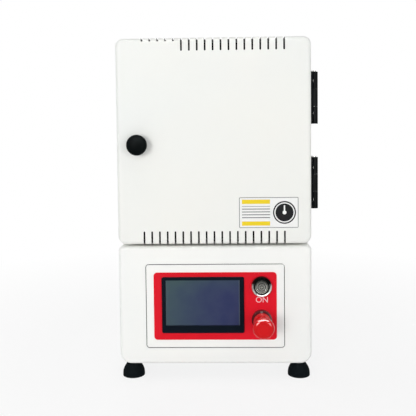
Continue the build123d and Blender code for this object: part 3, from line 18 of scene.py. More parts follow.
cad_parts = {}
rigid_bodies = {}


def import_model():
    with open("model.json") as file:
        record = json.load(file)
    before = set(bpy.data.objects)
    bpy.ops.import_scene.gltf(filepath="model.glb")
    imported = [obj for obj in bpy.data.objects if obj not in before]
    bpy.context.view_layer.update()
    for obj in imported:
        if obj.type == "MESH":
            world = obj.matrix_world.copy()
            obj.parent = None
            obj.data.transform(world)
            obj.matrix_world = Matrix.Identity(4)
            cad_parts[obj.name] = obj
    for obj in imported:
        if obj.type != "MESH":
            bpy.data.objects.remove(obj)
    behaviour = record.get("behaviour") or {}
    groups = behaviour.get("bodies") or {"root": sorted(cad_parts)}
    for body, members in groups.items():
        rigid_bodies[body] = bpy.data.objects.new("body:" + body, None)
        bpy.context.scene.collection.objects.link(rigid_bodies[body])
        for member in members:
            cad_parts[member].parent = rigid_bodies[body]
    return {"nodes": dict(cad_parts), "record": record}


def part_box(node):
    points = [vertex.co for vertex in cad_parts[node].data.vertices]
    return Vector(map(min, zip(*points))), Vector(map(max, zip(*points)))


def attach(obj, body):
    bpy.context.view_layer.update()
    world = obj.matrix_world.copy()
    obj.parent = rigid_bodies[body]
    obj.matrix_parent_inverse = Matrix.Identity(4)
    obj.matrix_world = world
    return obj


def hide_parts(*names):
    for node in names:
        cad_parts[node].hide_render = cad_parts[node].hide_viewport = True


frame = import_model()
nodes = frame["nodes"]
scene = bpy.context.scene
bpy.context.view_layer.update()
MM = 0.001
print("pieces in the solid model:", len(nodes))

# %% [markdown]
# ## The camera
#
# The furnace is seen from the front, a little to the right of its middle and from the height
# of its chamber. The camera looks down by less than three degrees. A downward shift of the
# lens does the rest, as it does on a view camera: a shift moves the picture without more tilt,
# so the door's edges hardly lean.

# %% Place the camera
FOCAL_PX = 588.6                       # focal length in picture widths of 416
PICTURE_PX = 416
CAMERA_PLACE = Vector((0.0068, -1.0830, 0.3736))
CAMERA_TILT, CAMERA_ROLL, CAMERA_YAW = (math.radians(a) for a in (2.753, -0.599, 1.509))
LENS_CENTRE_PX = 170                   # the lens axis meets the picture this far from its top


def camera_axes():
    """Right, up and forward of the camera."""
    level = Vector((-math.sin(CAMERA_YAW), math.cos(CAMERA_YAW), 0))
    right = Vector((math.cos(CAMERA_YAW), math.sin(CAMERA_YAW), 0))
    up = math.sin(CAMERA_TILT) * level + math.cos(CAMERA_TILT) * Vector((0, 0, 1))
    forward = math.cos(CAMERA_TILT) * level - math.sin(CAMERA_TILT) * Vector((0, 0, 1))
    turn = Matrix.Rotation(-CAMERA_ROLL, 3, forward)
    return turn @ right, turn @ up, forward


camera = bpy.data.objects.new("camera", bpy.data.cameras.new("camera"))
scene.collection.objects.link(camera)
scene.camera = camera
camera.data.sensor_width = 36
camera.data.lens = FOCAL_PX / PICTURE_PX * camera.data.sensor_width
camera.data.shift_y = (LENS_CENTRE_PX - PICTURE_PX / 2) / PICTURE_PX
right, up, forward = camera_axes()
camera_turn = Matrix((right, up, -forward)).transposed().to_4x4()
camera.matrix_world = Matrix.Translation(CAMERA_PLACE) @ camera_turn
scene.view_settings.view_transform = "Standard"
print("lens %.1f mm, shift %.3f" % (camera.data.lens, camera.data.shift_y))

# %% [markdown]
# ## Writing shader maths as plain sums
#
# Node trees are easier to read as formulas. The class below wraps one number that changes over
# a surface. Adding, multiplying or comparing two of them adds the Math node that does it.

# %% A number that changes over a surface
class Signal:
    """A socket that carries a number or a vector, with the operators that the finishes use."""

    def __init__(self, finish, socket):
        self.finish = finish
        self.socket = socket

    def maths(self, operation, *terms, clamp=False):
        values = dict(enumerate(terms))
        settings = {"operation": operation, "use_clamp": clamp}
        return self.finish.node("ShaderNodeMath", settings, values)

    def __add__(self, other):
        return self.maths("ADD", self, other)

    def __sub__(self, other):
        return self.maths("SUBTRACT", self, other)

    def __rsub__(self, other):
        return self.maths("SUBTRACT", other, self)

    def __mul__(self, other):
        return self.maths("MULTIPLY", self, other)

    def __truediv__(self, other):
        return self.maths("DIVIDE", self, other)

    def __pow__(self, other):
        return self.maths("POWER", self, other)

    def __gt__(self, other):
        return self.maths("GREATER_THAN", self, other)

    def __lt__(self, other):
        return self.maths("LESS_THAN", self, other)

    __radd__ = __add__
    __rmul__ = __mul__

    def size(self):
        return self.maths("ABSOLUTE", self)

    def larger(self, other):
        return self.maths("MAXIMUM", self, other)

    def wave(self):
        return self.maths("SINE", self) * 0.5 + 0.5

    def held(self):
        """The same number, kept between 0 and 1."""
        return self.maths("ADD", self, 0.0, clamp=True)

    def rise(self, start, span):
        """0 up to the start, and 1 from one span further on."""
        return ((self - start) / span).held()


def apart(across, up):
    """The distance from an axis, for two coordinates across it."""
    return (across * across + up * up) ** 0.5


# %% [markdown]
# Every node comes from `node`, which takes the node's type, then its settings, then the
# values or links of its sockets. It gives back one output, or several when asked.

# %% A shader tree that is built node by node
class Shading:
    """A shader tree of a material or of the world."""

    def __init__(self, tree):
        self.tree = tree

    def feed(self, socket, value):
        """Links a signal to a socket, or sets a constant on it."""
        if isinstance(value, Signal):
            self.tree.links.new(value.socket, socket)
        elif hasattr(value, "__len__") and len(value) == 3 and socket.type == "RGBA":
            socket.default_value = (*value, 1)
        else:
            socket.default_value = value

    def node(self, kind, settings=None, values=None, output=0):
        made = self.tree.nodes.new(kind)
        for label, value in (settings or {}).items():
            if label == "stops":
                self.set_stops(made.color_ramp, value)
            else:
                setattr(made, label, value)
        for label, value in (values or {}).items():
            self.feed(made.inputs[label], value)
        if isinstance(output, tuple):
            return [Signal(self, made.outputs[one]) for one in output]
        return Signal(self, made.outputs[output])

    def finish_at(self, output_name, surface):
        """Ends the tree in its output node."""
        self.feed(self.tree.nodes[output_name].inputs["Surface"], surface)

    def axes(self, vector):
        return self.node("ShaderNodeSeparateXYZ", None, {0: vector}, output=(0, 1, 2))

    def either(self, share, first, second):
        """A shader between two others."""
        return self.node("ShaderNodeMixShader", None, {0: share, 1: first, 2: second})

    def ramp(self, signal, stops):
        return self.node("ShaderNodeValToRGB", {"stops": stops}, {"Fac": signal})

    def mixed(self, factor, first, second):
        """A colour between two others."""
        values = {0: factor, 6: first, 7: second}
        return self.node("ShaderNodeMix", {"data_type": "RGBA"}, values, output=2)

    def set_stops(self, ramp, stops):
        while len(ramp.elements) < len(stops):
            ramp.elements.new(1)
        for element, (position, level) in zip(ramp.elements, stops):
            element.position = position
            element.color = (level, level, level, 1)


# %% [markdown]
# A finish is one material on top of one Principled shader. Patterns read Object coordinates
# in metres, so a grain has the same real size on every piece.

# %% A material
class Finish(Shading):
    """A material under construction."""

    def __init__(self, name, **constants):
        self.material = bpy.data.materials.new(name)
        self.material.use_nodes = True
        super().__init__(self.material.node_tree)
        self.shader = self.tree.nodes["Principled BSDF"]
        self.place, self.facing = self.node("ShaderNodeTexCoord", output=("Object", "Normal"))
        for label, value in constants.items():
            self.feed(self.shader.inputs[label.replace("_", " ")], value)

    def noise(self, scale, detail=2.0, place=None):
        """Soft random blotches, scale of them to the metre."""
        values = {"Vector": place or self.place, "Scale": scale, "Detail": detail}
        return self.node("ShaderNodeTexNoise", None, values)

    def cells(self, scale):
        """A random level for each of many small cells."""
        values = {"Vector": self.place, "Scale": scale}
        colour = self.node("ShaderNodeTexVoronoi", None, values, output="Color")
        return self.node("ShaderNodeSeparateColor", None, {"Color": colour})

    def stretched(self, scale):
        """Object coordinates with another scale along each axis."""
        return self.node("ShaderNodeMapping", None, {"Vector": self.place, "Scale": scale})

    def centred(self, centre):
        """x, y and z measured from a centre."""
        values = {"Vector": self.place, "Location": [-c for c in centre]}
        return self.axes(self.node("ShaderNodeMapping", None, values))

    def painted_shade_mask(self, low, high, margins):
        """Mask of the painted shade: 1 on the inside of a pan that fills a box, and on the walls of its
        slots and openings.
        """
        reaches = [half - margin for half, margin in zip((high - low) / 2, margins)]
        places, normals = self.centred((low + high) / 2), self.axes(self.facing)
        towards, cut = 0.0, 0.0
        for place, normal, reach in zip(places, normals, reaches):
            towards = place * normal + towards
            cut = (normal.size() > 0.9) * (place.size() < reach) + cut
        return (towards < 0.0).larger(cut)

    def colour(self, value):
        self.feed(self.shader.inputs["Base Color"], value)

    def roughness(self, value):
        self.feed(self.shader.inputs["Roughness"], value)

    def bump(self, height, depth):
        """Relief of the given depth in metres."""
        values = {"Height": height, "Distance": depth, "Strength": 1.0}
        self.feed(self.shader.inputs["Normal"], self.node("ShaderNodeBump", None, values))


# %% [markdown]
# ## Sheet metal
#
# The outside is sheet steel with a white powder coat. Powder melts into a skin with a faint
# orange peel, which we see as a softly broken reflection. A fine noise drives both the relief
# and the roughness, and a slow noise lets the white drift a little from warm to cool.
#
# The inside of a pan gets a painted shade of near black, so the slots look black. A face
# belongs to the inside when it looks towards the middle of the pan, and the walls of a slot
# are the faces that look sideways while they lie far from the pan's sides. The same painted
# shade covers the rim of the flat panel plate and the front of the door liner, so the joints
# round them look dark.

# %% White powder coat
WHITES = ((0.900, 0.898, 0.850), (0.868, 0.885, 0.856))          # warm, cool
FASCIA_WHITES = ((0.955, 0.953, 0.915), (0.925, 0.938, 0.915))
# painted shade: near black, on the inside of pans, on the walls of slots and on the joints round them
PAINTED_SHADE = (0.006, 0.007, 0.007)
PAN_MARGINS = (9 * MM, 9 * MM, 9 * MM)   # outer faces lie less than this inside the pan's box
PLATE_MARGINS = (-MM, 9 * MM, -MM)       # the cut rim of a flat plate gets the painted shade as well


def white_enamel(pan=None, margins=PAN_MARGINS, whites=WHITES):
    f = Finish(pan + "_enamel" if pan else "white_enamel", IOR=1.5, Specular_IOR_Level=0.3)
    peel = f.noise(700, 3)
    drift = f.ramp(f.noise(4.5, 2), [(0.35, 0), (0.70, 1)])
    paint = f.mixed(drift, *whites)
    if pan:
        low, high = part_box(pan)
        # painted shade inside the pan and on the walls of its slots and openings
        paint = f.mixed(f.painted_shade_mask(low, high, margins), paint, PAINTED_SHADE)
    f.colour(paint)
    f.roughness(0.36 + 0.16 * peel)
    f.bump(peel, 0.07 * MM)
    return f.material


# %% [markdown]
# Hidden sheets are zinc plated, and zinc freezes into flat crystals, the spangle. Voronoi
# cells give each crystal its own grey and its own gloss. The door liner and the chamber
# casing are brushed stainless steel: a noise that is stretched along one axis makes the lines.

# %% Zinc, stainless steel and bright screws
def zinc_sheet():
    f = Finish("zinc_sheet", Metallic=1.0)
    spangle = f.cells(190)
    f.colour(f.mixed(spangle, (0.54, 0.56, 0.58), (0.62, 0.64, 0.65)))
    f.roughness(0.34 + 0.12 * spangle)
    f.bump(f.noise(900), 0.03 * MM)
    return f.material


def stainless_sheet(name="stainless_sheet", painted_shade_front=False):
    f = Finish(name, Metallic=1.0)
    lines = f.noise(1, 3, f.stretched((14, 1500, 1500)))
    stain = f.ramp(f.noise(9, 3), [(0.45, 0), (0.75, 1)])
    steel = f.mixed(stain, (0.58, 0.57, 0.55), (0.52, 0.46, 0.38))
    # painted shade on the front of the liner, where it shows through the door's slots
    if painted_shade_front:
        facing_back = f.axes(f.facing)[1]
        steel = f.mixed(facing_back < -0.5, steel, PAINTED_SHADE)
    f.colour(steel)
    f.roughness(0.24 + 0.22 * lines)
    f.bump(lines, 0.04 * MM)
    return f.material


def steel_fasteners():
    f = Finish("steel_fasteners", Metallic=1.0)
    wear = f.noise(450, 3)
    f.colour(f.mixed(wear, (0.72, 0.72, 0.71), (0.86, 0.86, 0.85)))
    f.roughness(0.16 + 0.20 * wear)
    f.bump(wear, 0.02 * MM)
    return f.material


def cast_aluminium():
    f = Finish("cast_aluminium", Metallic=1.0)
    grain = f.noise(800, 3)
    f.colour(f.mixed(grain, (0.52, 0.53, 0.54), (0.66, 0.66, 0.67)))
    f.roughness(0.38 + 0.20 * grain)
    f.bump(grain, 0.06 * MM)
    return f.material


def supply_case():
    f = Finish("supply_case", Metallic=1.0)
    lines = f.noise(1, 2, f.stretched((900, 20, 900)))
    f.colour(f.mixed(lines, (0.60, 0.61, 0.62), (0.70, 0.71, 0.72)))
    f.roughness(0.30 + 0.18 * lines)
    f.bump(lines, 0.02 * MM)
    return f.material


# %% [markdown]
# ## Plastics and rubber
#
# Moulded black plastic is never quite black: it scatters a little light, and its fine grain
# breaks up the highlight. The hinges are painted with the same kind of powder as the cabinet,
# only black. The red stop button is the one truly glossy thing, so it gets a clear coat.

# %% Black and red mouldings
def dark_moulding(name, level, gloss, grain_scale, grain_depth, tint=(1.0, 1.05, 1.10), sheen=0.05):
    f = Finish(name, IOR=1.46, Specular_IOR_Level=sheen)
    grain = f.noise(grain_scale, 3)
    dark = [level * part for part in tint]
    bright = [2 * part for part in dark]
    f.colour(f.mixed(grain, dark, bright))
    f.roughness(gloss + 0.16 * grain)
    f.bump(grain, grain_depth)
    return f.material


def black_plastic():
    return dark_moulding("black_plastic", 0.0030, 0.34, 1100, 0.03 * MM, (0.8, 1.15, 1.2))


def screen_plastic():
    return dark_moulding("screen_plastic", 0.0032, 0.30, 1600, 0.03 * MM, (0.8, 1.6, 3.0), 0.10)


def hinge_black():
    return dark_moulding("hinge_black", 0.0024, 0.16, 650, 0.05 * MM, (0.9, 1.2, 1.5), 0.12)


def foot_rubber():
    return dark_moulding("foot_rubber", 0.0040, 0.52, 900, 0.08 * MM, (1.0, 1.4, 1.7), 0.02)


def magnet():
    return dark_moulding("magnet", 0.0300, 0.45, 1400, 0.04 * MM)


def red_plastic(name="red_plastic", depth=1.0):
    f = Finish(name, IOR=1.5, Specular_IOR_Level=0.5, Coat_Weight=1.0, Coat_Roughness=0.03)
    cloud = f.noise(90, 2)
    # a depth below 1 darkens the red; the collar uses this as painted shade
    f.colour(f.mixed(cloud, (0.66 * depth, 0.003, 0.005), (0.74 * depth, 0.005, 0.008)))
    f.roughness(0.10 + 0.06 * cloud)
    f.bump(f.noise(300, 1), 0.01 * MM)
    return f.material


# %% [markdown]
# The front overlay is a polyester film, printed from behind and embossed with a fine stipple.
# The stipple keeps reflections soft, so the red looks full from every side.

# %% Red overlay film
def red_overlay():
    f = Finish("red_overlay", IOR=1.45, Specular_IOR_Level=0.15)
    stipple = f.noise(1500, 2)
    drift = f.noise(14, 2)
    f.colour(f.mixed(drift, (0.72, 0.004, 0.014), (0.80, 0.008, 0.024)))
    f.roughness(0.42 + 0.14 * stipple)
    f.bump(stipple, 0.03 * MM)
    return f.material


# %% [markdown]
# ## The dark screen
#
# An unlit display behind touch glass is a deep blue grey, turning greener towards its upper
# left. The tint follows the place on the glass, so it is worked out from Object coordinates
# that are centred on the screen.

# %% Touch glass over an unlit display
GLASS_EDGE = 1.6 * MM                  # width of the lighter line down each side


def screen_glass():
    low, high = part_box("screen_glass")
    centre = (low + high) / 2
    half = (high - low) / 2
    f = Finish("screen_glass", IOR=1.5, Specular_IOR_Level=0.3, Coat_Weight=0.1, Coat_Roughness=0.03)
    x, _, z = f.centred(centre)
    leftness = 0.5 - x / (2 * half.x)
    topness = 0.5 + z / (2 * half.z)
    cloud = f.noise(45, 2)
    green = (leftness ** 2.2 * 0.9 + topness ** 6.0 * 0.45 + (cloud - 0.5) * 0.35).held()
    blue = f.mixed(cloud, (0.030, 0.040, 0.108), (0.044, 0.052, 0.128))
    face = f.mixed(green, blue, (0.060, 0.100, 0.110))
    edge = (x.size() > half.x - GLASS_EDGE) * 0.5
    f.colour(f.mixed(edge, face, (0.110, 0.135, 0.160)))
    f.roughness(0.10 + 0.10 * cloud)
    f.bump(f.noise(60, 1), 0.02 * MM)
    return f.material


# %% [markdown]
# ## Turned metal
#
# The start button is nickel-plated brass, faced on a lathe. The tool leaves rings round the
# axis. The distance from the axis goes through a sine wave, which gives rings of equal pitch,
# and the same wave drives colour, gloss and relief. The upper half of the face is darkened in
# its base colour as painted shade, so it stays dark under any light.

# %% Turned rings round the start button
RING_PITCH = 3.3 * MM


def turned_steel():
    low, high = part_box("start_plunger")
    f = Finish("turned_steel", Metallic=0.85)
    x, _, z = f.centred((low + high) / 2)
    rings = (apart(x, z) * (2 * math.pi / RING_PITCH)).wave()
    fine = f.noise(1200, 2)
    steel = f.mixed(rings, (0.22, 0.23, 0.19), (1.0, 1.0, 0.94))
    # painted shade: the face darkens towards its top
    shade = z.rise(1 * MM, 9 * MM) * 0.85
    f.colour(f.mixed(shade, steel, (0.030, 0.034, 0.028)))
    f.roughness(0.14 + 0.08 * fine + 0.06 * rings)
    f.bump(rings, 0.10 * MM)
    return f.material


# %% [markdown]
# ## Inside the chamber
#
# The lining is vacuum-formed ceramic fibre: chalky, cream, with short fibres that catch the
# light. The hearth is dark silicon carbide with glints: some grains are glossier, and their
# colour is lighter as a painted glint. The heating wire has oxidised to a dull brown grey. White
# ceramic bushes and tubes carry the wire and the thermocouple.

# %% Fibre, ceramic and hot wire
def fibre_board():
    f = Finish("fibre_board", IOR=1.3)
    fibres = f.noise(1, 4, f.stretched((260, 900, 420)))
    patches = f.noise(22, 3)
    f.colour(f.mixed(patches * fibres, (0.70, 0.66, 0.57), (0.90, 0.88, 0.82)))
    f.roughness(0.86 + 0.12 * fibres)
    f.bump(fibres + patches, 0.6 * MM)
    return f.material


def rope_seal():
    f = Finish("rope_seal", IOR=1.4)
    yarn = f.noise(1400, 3)
    f.colour(f.mixed(yarn, (0.58, 0.55, 0.47), (0.82, 0.79, 0.71)))
    f.roughness(0.75 + 0.20 * yarn)
    f.bump(yarn, 0.25 * MM)
    return f.material


def hearth_ceramic():
    f = Finish("hearth_ceramic", IOR=1.6)
    grains = f.cells(1300)
    # the glint grains are glossier, and also lighter in colour as a painted glint
    gloss_and_painted_glint = f.ramp(grains, [(0.80, 0), (0.95, 1)])
    f.colour(f.mixed(gloss_and_painted_glint, (0.060, 0.062, 0.066), (0.210, 0.215, 0.225)))
    f.roughness(0.72 - 0.35 * gloss_and_painted_glint)
    f.bump(grains, 0.20 * MM)
    return f.material


def resistance_wire():
    f = Finish("resistance_wire", Metallic=0.6)
    scale = f.noise(700, 3)
    f.colour(f.mixed(scale, (0.080, 0.070, 0.062), (0.210, 0.180, 0.150)))
    f.roughness(0.50 + 0.30 * scale)
    f.bump(scale, 0.05 * MM)
    return f.material


def white_ceramic():
    f = Finish("white_ceramic", IOR=1.55)
    body = f.noise(500, 3)
    f.colour(f.mixed(body, (0.78, 0.75, 0.68), (0.88, 0.86, 0.80)))
    f.roughness(0.50 + 0.20 * body)
    f.bump(body, 0.05 * MM)
    return f.material


# %% [markdown]
# Each solid has a material slot in the record that came with it. One loop gives every solid
# the finish that its slot names, so no piece is left plain.

# %% Give every solid its finish
MAKERS = [
    white_enamel, zinc_sheet, stainless_sheet, steel_fasteners, cast_aluminium, supply_case,
    black_plastic, screen_plastic, hinge_black, foot_rubber, magnet, red_plastic, red_overlay,
    screen_glass, turned_steel, fibre_board, rope_seal, hearth_ceramic, resistance_wire, white_ceramic,
]
finishes = {maker.__name__: maker() for maker in MAKERS}


def dress(solid, material):
    solid.data.materials.clear()
    solid.data.materials.append(material)


slot_of = {part["node"]: part["material_slot"] for part in frame["record"]["subparts"]}
for name, solid in nodes.items():
    dress(solid, finishes[slot_of[name]])
for pan in ("door_shell", "outer_shell"):
    dress(nodes[pan], white_enamel(pan))
dress(nodes["fascia"], white_enamel("fascia", whites=FASCIA_WHITES))
dress(nodes["panel_plate"], white_enamel("panel_plate", PLATE_MARGINS, FASCIA_WHITES))
# painted shade: the collar is a darker copy of the red plastic, for the shade under the stop head
dress(nodes["estop_collar"], red_plastic("collar_red", 0.16))
dress(nodes["door_liner"], stainless_sheet("liner_steel", True))
print("finishes made:", len(bpy.data.materials))

# %% [markdown]
# ## Geometry Nodes, built in the script
#
# Screws, coils and stitches repeat, so each kind is one node tree with named inputs.
# The class below mirrors the one for materials: a node comes from its type, its settings and
# its sockets. Every tree ends by making its copies real and by setting the material.

# %% A tree of geometry nodes
class Tree:
    """A Geometry Nodes tree with named inputs."""

    def __init__(self, name, **numbers):
        self.tree = bpy.data.node_groups.new(name, "GeometryNodeTree")
        self.ids = {}
        self.add_input("Geometry", "NodeSocketGeometry")
        for label, value in numbers.items():
            kind = "NodeSocketInt" if isinstance(value, int) else "NodeSocketFloat"
            self.add_input(label, kind).default_value = value
        self.add_input("finish", "NodeSocketMaterial")
        self.tree.interface.new_socket("Geometry", in_out="OUTPUT", socket_type="NodeSocketGeometry")
        self.start = self.node("NodeGroupInput", output=None)

    def add_input(self, label, kind):
        made = self.tree.interface.new_socket(label, in_out="INPUT", socket_type=kind)
        self.ids[label] = made.identifier
        return made

    def given(self, label):
        """The socket of a named input."""
        return self.start.outputs[label]

    def node(self, kind, settings=None, values=None, output=0):
        made = self.tree.nodes.new(kind)
        for label, value in (settings or {}).items():
            setattr(made, label, value)
        for label, value in (values or {}).items():
            for one in value if isinstance(value, list) else [value]:
                if isinstance(one, bpy.types.NodeSocket):
                    self.tree.links.new(one, made.inputs[label])
                else:
                    made.inputs[label].default_value = one
        return made if output is None else made.outputs[output]

    def maths(self, operation, first, second=0.0):
        return self.node("ShaderNodeMath", {"operation": operation}, {0: first, 1: second})

    def vector(self, x=0.0, y=0.0, z=0.0):
        return self.node("ShaderNodeCombineXYZ", None, {"X": x, "Y": y, "Z": z})

    def scaled(self, vector, factor):
        return self.node("ShaderNodeVectorMath", {"operation": "SCALE"}, {0: vector, "Scale": factor})

    def moved(self, geometry, offset=(0, 0, 0), turn=(0, 0, 0), scale=(1, 1, 1)):
        values = {"Geometry": geometry, "Translation": offset, "Rotation": turn, "Scale": scale}
        return self.node("GeometryNodeTransform", None, values)

    def end(self, geometry, smooth=False):
        """Makes the copies real, sets the material and closes the tree."""
        real = self.node("GeometryNodeRealizeInstances", None, {"Geometry": geometry})
        if smooth:
            real = self.node("GeometryNodeSetShadeSmooth", None, {"Geometry": real})
        values = {"Geometry": real, "Material": self.given("finish")}
        painted = self.node("GeometryNodeSetMaterial", None, values)
        self.node("NodeGroupOutput", None, {0: painted}, output=None)
        return self


# %% Run a tree and keep a plain mesh
def add_piece(name, mesh, body):
    """A finished piece at the origin that rides on a body."""
    piece = bpy.data.objects.new(name, mesh)
    scene.collection.objects.link(piece)
    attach(piece, body)
    return piece


def mesh_of(name, points, edges=(), faces=()):
    mesh = bpy.data.meshes.new(name)
    mesh.from_pydata(points, edges, faces)
    return mesh


def grow(name, base, tree, body, slot, stands_for, **numbers):
    """Runs a tree over a base mesh, and keeps what it makes as one plain piece."""
    source = bpy.data.objects.new(name + "_base", base)
    scene.collection.objects.link(source)
    modifier = source.modifiers.new("tree", "NODES")
    modifier.node_group = tree.tree
    for label, value in {**numbers, "finish": finishes[slot]}.items():
        modifier[tree.ids[label]] = value
    ready = source.evaluated_get(bpy.context.evaluated_depsgraph_get())
    mesh = bpy.data.meshes.new_from_object(ready)
    mesh.name = name
    source.modifiers.remove(modifier)
    bpy.data.objects.remove(source)
    piece = add_piece(name, mesh, body)
    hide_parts(*stands_for)
    print("%s: %d faces" % (name, len(mesh.polygons)))
    return piece


# %% [markdown]
# ## Screws
#
# A button-head screw is a flattened ball, cut off at its seat, with a hexagon sunk in its top.
# One is modelled at the origin and copied to every point of the base mesh. Each copy is
# turned towards the side it was driven from, and then spun by a random angle, because a
# fitter never leaves two sockets in line.

# %% Tree: a head for every screw
HEAD_RISE = 2.6 * MM
CUTTER = 30 * MM                       # wider than any head
SOCKET_DEPTH = 4 * MM
ANY_TURN = 6.28                        # a full turn


def screw_tree():
    t = Tree("screws", radius=4.4 * MM, rise=HEAD_RISE, recess=2.6 * MM, sunk=1.6 * MM,
             shank=2.4 * MM, length=6.0 * MM, tilt=0.0, swing=0.0, sides=6)
    ball = t.node("GeometryNodeMeshUVSphere", None, {"Segments": 32, "Rings": 20, "Radius": 1.0})
    flat = t.vector(t.given("radius"), t.given("radius"), t.given("rise"))
    dome = t.moved(ball, scale=flat)
    below = t.maths("MULTIPLY", t.given("rise"), -1.0)
    slab_size = t.vector(CUTTER, CUTTER, t.maths("MULTIPLY", t.given("rise"), 2.0))
    slab = t.node("GeometryNodeMeshCube", None, {"Size": slab_size})
    slab = t.moved(slab, t.vector(0.0, 0.0, below))
    socket_values = {"Vertices": t.given("sides"), "Radius": t.given("recess"), "Depth": SOCKET_DEPTH}
    socket = t.node("GeometryNodeMeshCylinder", None, socket_values)
    floor = t.maths("SUBTRACT", t.maths("ADD", t.given("rise"), SOCKET_DEPTH / 2), t.given("sunk"))
    socket = t.moved(socket, t.vector(0.0, 0.0, floor))
    head_values = {"Mesh 1": dome, "Mesh 2": [slab, socket]}
    head = t.node("GeometryNodeMeshBoolean", {"operation": "DIFFERENCE"}, head_values)
    shank_values = {"Vertices": 16, "Radius": t.given("shank"), "Depth": t.given("length")}
    shank = t.node("GeometryNodeMeshCylinder", None, shank_values)
    shank = t.moved(shank, t.vector(0.0, 0.0, t.maths("MULTIPLY", t.given("length"), -0.5)))
    screw = t.node("GeometryNodeJoinGeometry", None, {"Geometry": [head, shank]})
    spin_values = {"Min": 0.0, "Max": ANY_TURN, "Seed": 7}
    spin = t.node("FunctionNodeRandomValue", {"data_type": "FLOAT"}, spin_values, output=1)
    placed_values = {"Points": t.given("Geometry"), "Instance": screw}
    placed = t.node("GeometryNodeInstanceOnPoints", None, placed_values)
    lean = t.vector(t.given("tilt"), t.given("swing"), 0.0)
    turned = t.node("GeometryNodeRotateInstances", None, {"Instances": placed, "Rotation": lean})
    twirl = t.vector(0.0, 0.0, spin)
    spun = t.node("GeometryNodeRotateInstances", None, {"Instances": turned, "Rotation": twirl})
    return t.end(spun)


screws = screw_tree()
QUARTER = math.pi / 2

# %% [markdown]
# The places of the screws come from the solid screws: each loose part of such a node is one
# screw, and its box gives the seat of the head.

# %% Find each screw in the solid model
def islands(name):
    """The box of each separate solid in a node, as (lowest, highest) corners."""
    mesh = nodes[name].data
    keys = [tuple(round(c, 6) for c in v.co) for v in mesh.vertices]
    parent = {key: key for key in keys}

    def root(key):
        while parent[key] != key:
            parent[key] = parent[parent[key]]
            key = parent[key]
        return key

    for edge in mesh.edges:
        parent[root(keys[edge.vertices[0]])] = root(keys[edge.vertices[1]])
    groups = {}
    for key in keys:
        groups.setdefault(root(key), []).append(key)

    def corner(group, pick):
        return Vector([pick(point[axis] for point in group) for axis in range(3)])

    boxes = [(corner(group, min), corner(group, max)) for group in groups.values()]
    return sorted(boxes, key=lambda box: tuple(box[0]))


rear_boxes = islands("rear_cover_screws")
rear_places = [((a.x + b.x) / 2, b.y - HEAD_RISE, (a.z + b.z) / 2) for a, b in rear_boxes]
grow("rear_cover_screw_heads", mesh_of("rear_places", rear_places), screws, "cabinet",
     "steel_fasteners", ["rear_cover_screws"], tilt=-QUARTER)
for name, body in (("hinge_cabinet_screws", "cabinet"), ("hinge_door_screws", "door")):
    side_places = [(b.x - HEAD_RISE, (a.y + b.y) / 2, (a.z + b.z) / 2) for a, b in islands(name)]
    grow(name + "_heads", mesh_of(name + "_places", side_places), screws, body,
         "steel_fasteners", [name], swing=QUARTER)

# %% [markdown]
# ## The heating coils
#
# The element is a long helix of resistance wire laid in a groove that runs to and fro along
# each side wall. The base mesh is the line of the groove. The tree resamples it evenly, moves
# each point round the line by a steady angle, and sweeps a thin circle along the result.

# %% Tree: a line wound into a coil
POINTS_PER_TURN = 9
WIRE_SIDES = 5


def coil_tree():
    t = Tree("coil", radius=1.6 * MM, wire=0.38 * MM, pitch=1.7 * MM)
    line = t.node("GeometryNodeMeshToCurve", None, {"Mesh": t.given("Geometry")})
    step = t.maths("DIVIDE", t.given("pitch"), float(POINTS_PER_TURN))
    even = t.node("GeometryNodeResampleCurve", {"mode": "LENGTH"}, {"Curve": line, "Length": step})
    index = t.node("GeometryNodeInputIndex")
    angle = t.maths("MULTIPLY", index, 2 * math.pi / POINTS_PER_TURN)
    along = t.node("GeometryNodeInputTangent")
    out = t.vector(1.0, 0.0, 0.0)
    side = t.node("ShaderNodeVectorMath", {"operation": "CROSS_PRODUCT"}, {0: along, 1: out})
    part_out = t.scaled(out, t.maths("MULTIPLY", t.maths("COSINE", angle), t.given("radius")))
    part_side = t.scaled(side, t.maths("MULTIPLY", t.maths("SINE", angle), t.given("radius")))
    offset = t.node("ShaderNodeVectorMath", {"operation": "ADD"}, {0: part_out, 1: part_side})
    wound = t.node("GeometryNodeSetPosition", None, {"Geometry": even, "Offset": offset})
    ring_values = {"Resolution": WIRE_SIDES, "Radius": t.given("wire")}
    ring = t.node("GeometryNodeCurvePrimitiveCircle", {"mode": "RADIUS"}, ring_values)
    swept_values = {"Curve": wound, "Profile Curve": ring, "Fill Caps": True}
    swept = t.node("GeometryNodeCurveToMesh", None, swept_values)
    return t.end(swept, smooth=True)


# %% Lay the coils in their grooves
WIRE_RUNS = 8
BEND_R = 6 * MM
BEND_TURNS = [QUARTER * k / 4 for k in range(5)]
END_MARGIN = 12 * MM


def groove_line(name, board):
    """Points of the to-and-fro line that a wire node follows, from its box and its board's."""
    low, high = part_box(name)
    reach = (high.x - low.x) / 2
    x = (low.x + high.x) / 2
    front = low.y + reach
    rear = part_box(board)[1].y - END_MARGIN
    spread = high.z - low.z - 2 * reach
    heights = [low.z + reach + spread * i / (WIRE_RUNS - 1) for i in range(WIRE_RUNS)]
    points = [(x, high.y, heights[0])]
    for i in range(WIRE_RUNS - 1):
        end, inward = (front, 1) if i % 2 == 0 else (rear, -1)
        bends = ((heights[i], BEND_R, BEND_TURNS[::-1]), (heights[i + 1], -BEND_R, BEND_TURNS))
        for height, lift, turns in bends:
            for turn in turns:
                y = end + inward * BEND_R * (1 - math.cos(turn))
                points.append((x, y, height + lift * (1 - math.sin(turn))))
    points.append((x, high.y, heights[-1]))
    return points


